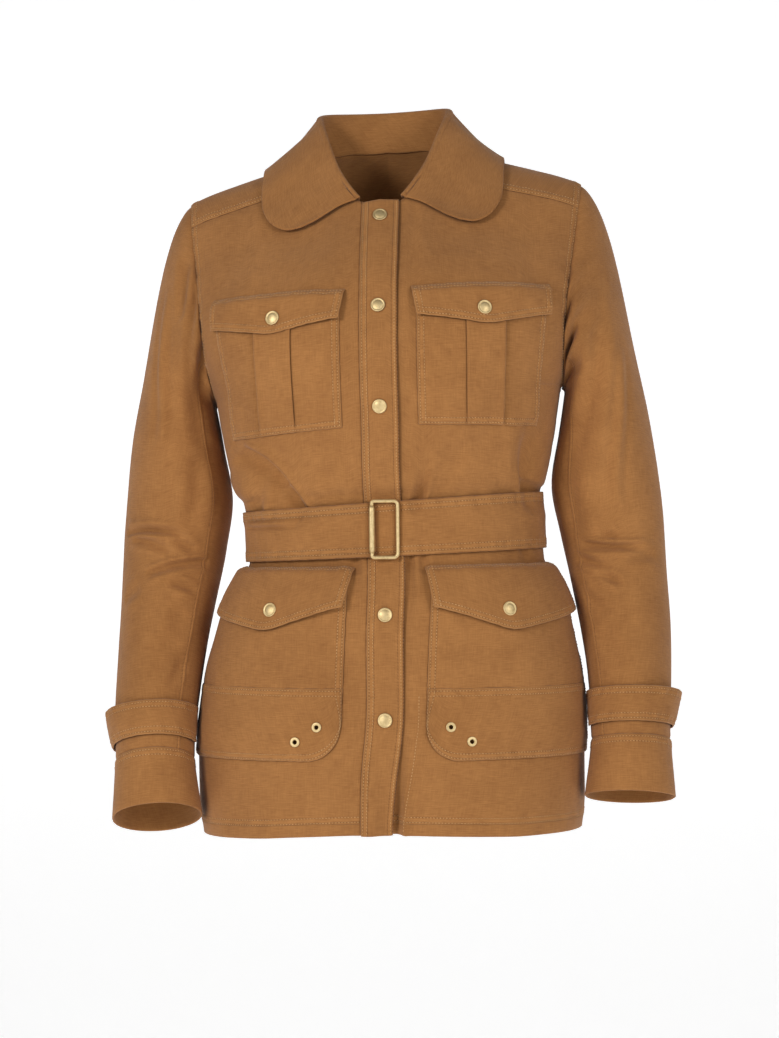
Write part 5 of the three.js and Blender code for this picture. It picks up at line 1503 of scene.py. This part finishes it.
def weave_group():
    """Twill cloth: yarns, slubs, washing and stitched seams as a colour, a roughness and a height, with
    painted shade in the stitch dimples and crevices.
    """
    if "Twill weave" in bpy.data.node_groups:
        return bpy.data.node_groups["Twill weave"]
    group = bpy.data.node_groups.new("Twill weave", "ShaderNodeTree")
    socket(group, "Chart", "Vector")
    socket(group, "Place", "Vector")
    socket(group, "Edge", "Float", 60.0)
    socket(group, "Colour", "Color", (0.37, 0.165, 0.05, 1))
    socket(group, "Shade", "Color", (0.27, 0.11, 0.032, 1))
    socket(group, "Worn", "Color", (0.47, 0.23, 0.08, 1))
    # Colour of painted shade, laid into stitch dimples and crevices.
    socket(group, "Hollow", "Color", (0.13, 0.05, 0.014, 1))
    n = Nodes(group)
    given = n.add("NodeGroupInput").outputs
    chart, place, edge = given["Chart"], given["Place"], given["Edge"]
    split = n.add("ShaderNodeSeparateXYZ", {0: chart})
    u, v = split.outputs[0], split.outputs[1]
    wobble = n.noise(n.stretched(chart, 400, 400), 1.0, 1.0)
    turn = 2 * math.pi / 0.00095
    slant = n.math("ADD", n.math("MULTIPLY", u, turn), n.math("MULTIPLY", v, turn * 0.62))
    slant = n.math("ADD", slant, n.math("MULTIPLY", wobble, 5.0))
    twill = n.math("SINE", slant)
    yarn = n.math("SINE", n.math("MULTIPLY", v, 2 * math.pi / 0.00062))
    weft = n.noise(n.stretched(chart, 80, 900), 1.0, 2.0, 0.6)
    warp = n.noise(n.stretched(chart, 900, 60), 1.0, 2.0, 0.6)
    wash = n.noise(place, 9.0, 3.0, 0.6)
    cloud = n.noise(place, 42.0, 3.0, 0.62)
    fuzz = n.noise(place, 1500.0, 1.0)

    def row(at, width):
        off = n.math("DIVIDE", n.math("SUBTRACT", edge, at), width)
        return n.math("EXPONENT", n.math("MULTIPLY", n.math("MULTIPLY", off, off), -1.0))

    rows = n.math("ADD", row(ROW_GAP[0], 0.42), row(ROW_GAP[1], 0.42))
    dimples = n.math("ADD", row(ROW_GAP[0], 1.3), row(ROW_GAP[1], 1.3))
    along = n.math("MULTIPLY", n.math("ADD", u, v), 2 * math.pi / 0.0032)
    beat = n.math("MULTIPLY_ADD", n.math("SINE", along), 0.5, 0.5)
    welt = row(4.5, 3.0)
    fold = row(0.0, 0.9)
    ruffle = n.noise(n.stretched(place, 210, 210, 210), 1.0, 1.0)
    streak = n.math("ADD", n.math("MULTIPLY", weft, 0.62), n.math("MULTIPLY", warp, 0.38))
    tone = n.math("ADD", n.math("MULTIPLY", streak, 2.0), n.math("MULTIPLY", wash, 0.7))
    tone = n.math("ADD", tone, n.math("MULTIPLY", cloud, 0.6))
    tone = n.math("ADD", tone, n.math("MULTIPLY", twill, 0.1))
    tone = n.math("ADD", tone, n.math("MULTIPLY", ruffle, n.math("MULTIPLY", welt, 0.5)))
    share = n.math("SUBTRACT", tone, 1.1, clamp=True)
    base = n.blend(share, given["Shade"], given["Colour"])
    # Painted shade: the cloth along the stitch rows is darkened between stitches, where the dimples lie in
    # shade.
    painted_row_shade = n.math("MULTIPLY", rows, n.math("MULTIPLY_ADD", beat, 0.5, 0.25), clamp=True)
    base = n.blend(painted_row_shade, base, given["Hollow"])
    # Painted shade: an ambient occlusion mask darkens crevices, folds and the gaps under edges towards the
    # painted shade colour.
    painted_crevice_shade = n.add("ShaderNodeAmbientOcclusion", samples=6)
    painted_crevice_shade.inputs["Distance"].default_value = 0.006
    painted_crevice_shade = n.math("SUBTRACT", 0.9, painted_crevice_shade.outputs["AO"], clamp=True)
    base = n.blend(n.math("MULTIPLY", painted_crevice_shade, 1.35, clamp=True), base, given["Hollow"])
    lift = n.math("MULTIPLY", fold, n.math("MULTIPLY", cloud, 0.55))
    base = n.blend(lift, base, given["Worn"])
    height = n.math("MULTIPLY", twill, 0.00004)
    height = n.math("ADD", height, n.math("MULTIPLY", yarn, 0.000015))
    height = n.math("ADD", height, n.math("MULTIPLY", streak, 0.00022))
    height = n.math("ADD", height, n.math("MULTIPLY", fuzz, 0.00003))
    height = n.math("ADD", height, n.math("MULTIPLY", cloud, 0.0009))
    dip = n.math("MULTIPLY", dimples, n.math("MULTIPLY_ADD", beat, 0.00035, 0.00015))
    height = n.math("SUBTRACT", height, dip)
    ruffled = n.math("MULTIPLY", n.math("MULTIPLY", ruffle, welt), 0.0007)
    height = n.math("ADD", height, ruffled)
    rough = n.math("ADD", 0.78, n.math("MULTIPLY", streak, 0.16))
    return give(group, n, Colour=base, Roughness=rough, Height=height)


def metal_group():
    """Pale plated brass: fine brushing, and handling marks as rougher patches of darker tarnish."""
    if "Plated brass" in bpy.data.node_groups:
        return bpy.data.node_groups["Plated brass"]
    group = bpy.data.node_groups.new("Plated brass", "ShaderNodeTree")
    socket(group, "Place", "Vector")
    socket(group, "Colour", "Color", (0.7, 0.56, 0.3, 1))
    socket(group, "Tarnish", "Color", (0.5, 0.35, 0.15, 1))
    n = Nodes(group)
    given = n.add("NodeGroupInput").outputs
    brushed = n.noise(n.stretched(given["Place"], 900, 900, 7000), 1.0, 2.0)
    patch = n.noise(given["Place"], 260.0, 3.0, 0.6)
    share = n.math("MULTIPLY", n.math("SUBTRACT", patch, 0.42, clamp=True), 1.6, clamp=True)
    colour = n.blend(share, given["Colour"], given["Tarnish"])
    rough = n.math("ADD", 0.43, n.math("MULTIPLY", patch, 0.24))
    height = n.math("MULTIPLY", brushed, 0.000002)
    return give(group, n, Colour=colour, Roughness=rough, Height=height)


def finish(name):
    """Material of one finish, made the first time it is asked for."""
    label = "jacket " + name
    if label in bpy.data.materials:
        return bpy.data.materials[label]
    material = bpy.data.materials.new(label)
    material.use_nodes = True
    n = Nodes(material.node_tree)
    shader = material.node_tree.nodes["Principled BSDF"]
    links = material.node_tree.links
    place = n.add("ShaderNodeTexCoord").outputs["Object"]
    settings = Make.settings()
    if name == "twill":
        chart = n.add("ShaderNodeUVMap", uv_map="cloth").outputs["UV"]
        edge = n.add("ShaderNodeAttribute", attribute_name="edge").outputs["Fac"]
        values = {"Chart": chart, "Place": place, "Edge": edge}
        values["Colour"] = (*settings.cloth_colour, 1)
        values["Shade"] = (*settings.shade_colour, 1)
        values["Worn"] = (*settings.worn_colour, 1)
        group = n.add("ShaderNodeGroup", node_tree=weave_group())
        shader.inputs["Sheen Weight"].default_value = 0.12
        shader.inputs["Sheen Roughness"].default_value = 0.5
        shader.inputs["Specular IOR Level"].default_value = 0.25
        strength = 0.9
    elif name == "thread":
        values = {"Chart": place, "Place": place, "Edge": 60.0}
        values["Colour"] = (*settings.thread_colour, 1)
        values["Shade"] = (*settings.worn_colour, 1)
        values["Worn"] = (*settings.thread_colour, 1)
        # Painted shade on the thread goes towards the cloth colour.
        values["Hollow"] = (*settings.cloth_colour, 1)
        group = n.add("ShaderNodeGroup", node_tree=weave_group())
        shader.inputs["Specular IOR Level"].default_value = 0.35
        strength = 0.4
    else:
        values = {"Place": place, "Colour": (*settings.brass_colour, 1)}
        group = n.add("ShaderNodeGroup", node_tree=metal_group())
        shader.inputs["Metallic"].default_value = 1.0
        strength = 0.5
    for key, value in values.items():
        if isinstance(value, bpy.types.NodeSocket):
            links.new(value, group.inputs[key])
        else:
            group.inputs[key].default_value = value
    links.new(group.outputs["Colour"], shader.inputs["Base Color"])
    links.new(group.outputs["Roughness"], shader.inputs["Roughness"])
    bump = n.add("ShaderNodeBump", {"Height": group.outputs["Height"]})
    bump.inputs["Strength"].default_value = strength
    bump.inputs["Distance"].default_value = 1.0
    links.new(bump.outputs["Normal"], shader.inputs["Normal"])
    return material


class JacketSettings(bpy.types.PropertyGroup):
    """Sizes and colours that a user would change."""

    cloth_thick: FloatProperty(
        name="Cloth thickness",
        description="Wall of one layer of cloth",
        default=0.0012,
        unit="LENGTH",
    )
    stitch_length: FloatProperty(
        name="Stitch length",
        description="Length of one topstitch",
        default=0.0021,
        unit="LENGTH",
    )
    stitch_gap: FloatProperty(
        name="Stitch gap",
        description="Gap between two topstitches",
        default=0.0011,
        unit="LENGTH",
    )
    thread_radius: FloatProperty(
        name="Thread radius",
        description="Radius of the topstitching thread",
        default=0.00038,
        unit="LENGTH",
    )
    cloth_colour: FloatVectorProperty(
        name="Cloth",
        description="Colour of the cloth",
        default=(0.446, 0.197, 0.058),
        subtype="COLOR",
    )
    shade_colour: FloatVectorProperty(
        name="Cloth, deep",
        description="Colour between the yarns",
        default=(0.26, 0.104, 0.027),
        subtype="COLOR",
    )
    worn_colour: FloatVectorProperty(
        name="Cloth, worn",
        description="Colour of rubbed edges",
        default=(0.50, 0.25, 0.09),
        subtype="COLOR",
    )
    thread_colour: FloatVectorProperty(
        name="Thread",
        description="Colour of the topstitching",
        default=(0.74, 0.46, 0.21),
        subtype="COLOR",
    )
    brass_colour: FloatVectorProperty(
        name="Brass",
        description="Colour of snaps, eyelets and buckle",
        default=(0.8, 0.62, 0.33),
        subtype="COLOR",
    )
    floor_drop: FloatProperty(
        name="Floor",
        description="Depth of the floor under the neck",
        default=1.45,
        unit="LENGTH",
    )
    light: FloatProperty(name="Light", description="Strength of the studio light", default=1.0)


def thickness():
    return Make.settings().cloth_thick / MM


def sew(name, edges, distances=ROW_GAP, start=0.0, end=0.0, on=None):
    """Notes rows of topstitching inside the named edges of a cloth piece."""
    cloth = Make.cloths[name] if on is None else on
    for edge in edges.split():
        Make.rows[name] += [(cloth, edge, distance, start, end) for distance in distances]


ALL_EDGES = "first last bottom top"
HEM_GAP = [distance + HEM_ROWS for distance in ROW_GAP]
DOUBLED = 0.5  # what a second layer adds to the wall of a piece
CUFF_DOUBLED = 0.6


class JACKET_OT_body(bpy.types.Operator):
    """Fronts, back, yoke and placket"""

    bl_idname = "jacket.body"
    bl_label = "Body"

    def execute(self, context):
        thick = thickness()
        for side, hand in SIDES:
            made = front(side)
            name = dress("front_" + hand, made, thick)
            corner = made[0].p[0, -1, 2]
            above = float(np.abs(corner - stand(torso_point(90, np.array(CHEST_Z)))[2]))
            sew(name, "last", start=above + 6, end=2)
            sew(name, "bottom", HEM_GAP)
            if side > 0:
                sew(name, "first", (50.0,), 3, made[0].lengths(0)[-1, 0] - 120)
        name = dress("back", back_cloth(), thick)
        sew(name, "first last", start=460, end=2)
        sew(name, "bottom", HEM_GAP)
        name = dress("yoke", yoke_cloth(), thick)
        sew(name, "top", start=1, end=1)
        sew(name, "first last", start=6, end=2)
        name = dress("placket", placket_cloth(), thick + DOUBLED)
        sew(name, "first", (2.0, 6.0), 1, 1)
        sew(name, "last", (2.2,), 1, 1)
        return {"FINISHED"}


class JACKET_OT_collar(bpy.types.Operator):
    """Rounded one-piece collar with its stand"""

    bl_idname = "jacket.collar"
    bl_label = "Collar"

    def execute(self, context):
        made = collar_cloth(), None
        dress("collar", made, COLLAR_THICK)
        return {"FINISHED"}


class JACKET_OT_sleeves(bpy.types.Operator):
    """Two-piece sleeves, cuffs and sleeve straps"""

    bl_idname = "jacket.sleeves"
    bl_label = "Sleeves"

    def execute(self, context):
        thick = thickness()
        lap = 1.2
        seams = SLEEVE_FRONT_SEAM, SLEEVE_BACK_SEAM
        for side, hand in SIDES:
            cloth, near = sleeve_cloth(side, seams[1] - 360 - lap, seams[0] + lap, 96, 1)
            upper = "sleeve_upper_" + hand
            made = cloth, near + 4.0
            dress(upper, made, thick)
            made = sleeve_cloth(side, seams[0] - lap, seams[1] + lap, 28, -1)[0], None
            under = "sleeve_under_" + hand
            dress(under, made, thick)
            wall = thick + CUFF_DOUBLED
            name = dress("cuff_" + hand, cuff_cloth(side), wall)
            sew(name, "bottom")
            strap = "sleeve_strap_" + hand
            name = dress(strap, strap_cloth(side), wall)
            sew(name, "bottom top", start=1, end=1)
        return {"FINISHED"}


class JACKET_OT_pockets(bpy.types.Operator):
    """Chest and lower pockets with their flaps"""

    bl_idname = "jacket.pockets"
    bl_label = "Pockets"

    def execute(self, context):
        thick = thickness()
        for side, hand in SIDES:
            pocket = "chest_pocket_" + hand
            cloth, edge, box, below = chest_pocket_cloths(side)
            more = ((box, thick, below),)
            made = cloth, edge
            name = dress(pocket, made, thick, more)
            sew(name, "first last", start=1, end=1)
            sew(name, "bottom", start=2, end=2)
            sew(name, "bottom", on=box)
            made = chest_flap_cloth(side)
            wall = thick + DOUBLED
            name = dress("chest_flap_" + hand, made, wall)
            sew(name, ALL_EDGES, start=2, end=2)
            pocket = "lower_pocket_" + hand
            made = lower_pocket_cloth(side, base=False)
            name = dress(pocket, made, thick)
            sew(name, "first last", start=3)
            made = lower_pocket_cloth(side, base=True)
            name = dress("pocket_base_" + hand, made, thick)
            sew(name, ALL_EDGES, start=2, end=2)
            made = lower_flap_cloth(side)
            name = dress("lower_flap_" + hand, made, wall)
            sew(name, ALL_EDGES, start=2, end=2)
        return {"FINISHED"}


class JACKET_OT_belt(bpy.types.Operator):
    """Belt strap, creased where it is pulled in"""

    bl_idname = "jacket.belt"
    bl_label = "Belt"

    def execute(self, context):
        wall = BELT["thick"] - 0.3
        name = dress("belt", belt_cloth(), wall)
        sew(name, "bottom top", [distance + 1.6 for distance in ROW_GAP], 3, 3)
        return {"FINISHED"}


def front_place(side, u, z, out, reach):
    """Place of a small round piece on the front, by distance round the body and level."""

    def on(du, dz):
        across, level = np.array(u + du * side, float), np.array(z + dz, float)
        return stand(on_body(side, across, level, out))

    return place_on(on(0, 0), on(reach, 0), on(0, reach))


def pocket_share(u, z):
    return (u - LOWER_POCKET["inner"]) / (pocket_edge(z) - LOWER_POCKET["inner"])


class JACKET_OT_brass(bpy.types.Operator):
    """Snaps, eyelets and buckle"""

    bl_idname = "jacket.brass"
    bl_label = "Brass"

    def execute(self, context):
        for index, z in enumerate(FRONT_SNAPS):

            def at(dx, dz, z=z):
                theta = BY_LEVEL.angle(z, placket_x(z) + dx)
                return stand(torso(theta, v_of_z(theta, z + dz), np.array(PLACKET_RISE)))

            place = place_on(at(0, 0), at(6, 0), at(0, 6))
            name = "snap_front_%d" % (index + 1)
            brass_piece(name + "_cap", name, *lathe(snap_profile(), 56, place))
        seat = float(lower_flap_seat(pocket_share(*LOWER_SNAP), LOWER_SNAP[1]))
        flap_tops = (
            ("snap_chest_", CHEST_SNAP, CHEST_FLAP_RISE - SNAP_SINK),
            ("snap_lower_", LOWER_SNAP, seat + LOWER_FLAP_FACE - SNAP_SINK),
        )
        for side, hand in SIDES:
            for prefix, (u, z), out in flap_tops:
                place = front_place(side, u, z, out, 6)
                node = prefix + hand
                brass_piece(node + "_cap", node, *lathe(snap_profile(), 56, place))
            for index, (u, z) in enumerate(EYELETS):
                out = float(pocket_bulge(pocket_share(u, z), z)) + LOWER_POCKET_RISE
                place = front_place(side, u, z, out, 4)
                node = "eyelet_%s_%d" % (hand, index + 1)
                brass_piece(node + "_ring", node, *lathe(eyelet_profile(), 40, place))
                pierce("pocket_base_" + hand + "_cloth", place)
        points, faces = buckle_arrays()
        brass_piece("buckle_frame", "buckle", points, faces)
        return {"FINISHED"}


def pierce(name, place):
    """Cuts a round hole for an eyelet through a cloth piece."""
    profile = np.array([[0.02, -8.0], [2.4, -8.0], [2.4, 8.0], [0.02, 8.0]])
    points, faces = lathe(profile, 32, place)
    drill = Make.mesh("drill", points, faces.tolist(), sharp=True)
    bpy.context.view_layer.objects.active = drill
    cloth = bpy.data.objects[name]
    cut = cloth.modifiers.new("hole", "BOOLEAN")
    cut.object = drill
    cut.operation = "DIFFERENCE"
    cut.solver = "EXACT"
    graph = bpy.context.evaluated_depsgraph_get()
    mesh = bpy.data.meshes.new_from_object(cloth.evaluated_get(graph))
    cloth.modifiers.remove(cut)
    old = cloth.data
    cloth.data = mesh
    bpy.data.meshes.remove(old)
    bpy.data.objects.remove(drill)


class JACKET_OT_stitching(bpy.types.Operator):
    """Topstitching of all pieces"""

    bl_idname = "jacket.stitching"
    bl_label = "Stitching"

    def execute(self, context):
        settings = Make.settings()
        groups = {
            "stitches_body": ("front", "back", "yoke", "placket"),
            "stitches_sleeves": ("cuff", "sleeve"),
            "stitches_chest": ("chest",),
            "stitches_lower": ("lower", "pocket"),
            "stitches_belt": ("belt",),
        }
        for name, prefixes in groups.items():
            lines = []
            for piece, rows in Make.rows.items():
                if piece.startswith(prefixes):
                    lines += [cloth.row(edge, at, start, end) for cloth, edge, at, start, end in rows]
            arrays = stitch_arrays(
                lines, settings.stitch_length / MM, settings.stitch_gap / MM, settings.thread_radius / MM
            )
            thing = Make.mesh(name, arrays[0], arrays[1].tolist())
            thing.data.materials.append(finish("thread"))
            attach(thing, "root")
        return {"FINISHED"}


PHOTO_SIZE = (779, 1038)
FOCAL_PIXELS = 2912.6
CAMERA_DISTANCE = 3.0
CAMERA_TURN = 4.0
CAMERA_Z = -0.378
AXIS_OFFSET = -0.0015


class JACKET_OT_stage(bpy.types.Operator):
    """Floor, soft light and camera"""

    bl_idname = "jacket.stage"
    bl_label = "Stage"

    def execute(self, context):
        scene = context.scene
        settings = Make.settings()
        scene.view_settings.view_transform = "Standard"
        scene.view_settings.look = "None"
        floor_z = -settings.floor_drop / MM
        flat_to, radius, tall = 1800.0, 900.0, 4200.0
        turn = np.radians(np.linspace(0, 90, 24))
        y = np.concatenate([[-6000, flat_to], flat_to + radius * np.sin(turn[1:]), [flat_to + radius]])
        z = np.concatenate([[0, 0], radius * (1 - np.cos(turn[1:])), [tall]]) + floor_z
        x = np.array([-6000.0, 6000.0])
        points = np.stack([np.tile(x, len(y)), np.repeat(y, 2), np.repeat(z, 2)], -1)
        number = np.arange(len(points)).reshape(len(y), 2)
        faces = np.stack([number[:-1, 0], number[:-1, 1], number[1:, 1], number[1:, 0]], -1)
        floor = Make.mesh("studio_floor", points, faces.tolist())
        material = bpy.data.materials.new("studio paper")
        material.use_nodes = True
        shader = material.node_tree.nodes["Principled BSDF"]
        shader.inputs["Base Color"].default_value = (0.9, 0.9, 0.9, 1)
        shader.inputs["Roughness"].default_value = 0.9
        shader.inputs["Emission Color"].default_value = (1, 1, 1, 1)
        shader.inputs["Emission Strength"].default_value = 0.45
        floor.data.materials.append(material)
        world = bpy.data.worlds.new("studio")
        world.use_nodes = True
        world.node_tree.nodes["Background"].inputs[0].default_value = (1, 1, 1, 1)
        world.node_tree.nodes["Background"].inputs[1].default_value = 0.2 * settings.light
        scene.world = world
        lamps = (
            ("key", (-1.6, -2.4, 0.5), 0.7, 37),
            ("fill", (1.9, -2.3, 0.4), 1.0, 27),
        )
        for name, place, size, power in lamps:
            lamp = bpy.data.lights.new(name, "AREA")
            lamp.size = size
            lamp.energy = power * settings.light
            thing = bpy.data.objects.new(name, lamp)
            thing.location = place
            aim = Vector((0, 0, -0.45)) - Vector(place)
            thing.rotation_euler = aim.to_track_quat("-Z", "Y").to_euler()
            scene.collection.objects.link(thing)
        turn = math.radians(CAMERA_TURN)
        camera = bpy.data.cameras.new("camera")
        camera.sensor_width = 36.0
        camera.lens = FOCAL_PIXELS * camera.sensor_width / max(PHOTO_SIZE)
        thing = bpy.data.objects.new("camera", camera)
        away = Vector((math.sin(turn), -math.cos(turn), 0)) * CAMERA_DISTANCE
        across = Vector((math.cos(turn), math.sin(turn), 0)) * AXIS_OFFSET
        thing.location = away + across + Vector((0, 0, CAMERA_Z))
        thing.rotation_euler = (math.radians(90), 0, turn)
        scene.collection.objects.link(thing)
        scene.camera = thing
        return {"FINISHED"}


OPERATORS = (
    JACKET_OT_body,
    JACKET_OT_collar,
    JACKET_OT_sleeves,
    JACKET_OT_pockets,
    JACKET_OT_belt,
    JACKET_OT_brass,
    JACKET_OT_stitching,
    JACKET_OT_stage,
)


class JACKET_PT_panel(bpy.types.Panel):
    """Jacket panel in the sidebar"""

    bl_label = "Safari jacket"
    bl_idname = "JACKET_PT_panel"
    bl_space_type = "VIEW_3D"
    bl_region_type = "UI"
    bl_category = "Jacket"

    def draw(self, context):
        settings = context.scene.jacket_settings
        for name in JacketSettings.__annotations__:
            self.layout.prop(settings, name)
        for operator in OPERATORS:
            self.layout.operator(operator.bl_idname)


CLASSES = (JacketSettings, *OPERATORS, JACKET_PT_panel)


def register():
    for kind in CLASSES:
        bpy.utils.register_class(kind)
    bpy.types.Scene.jacket_settings = PointerProperty(type=JacketSettings)


def unregister():
    del bpy.types.Scene.jacket_settings
    for kind in reversed(CLASSES):
        bpy.utils.unregister_class(kind)


def main():
    register()
    for operator in OPERATORS:
        group, name = operator.bl_idname.split(".")
        getattr(getattr(bpy.ops, group), name)()


if __name__ == "__main__":
    main()
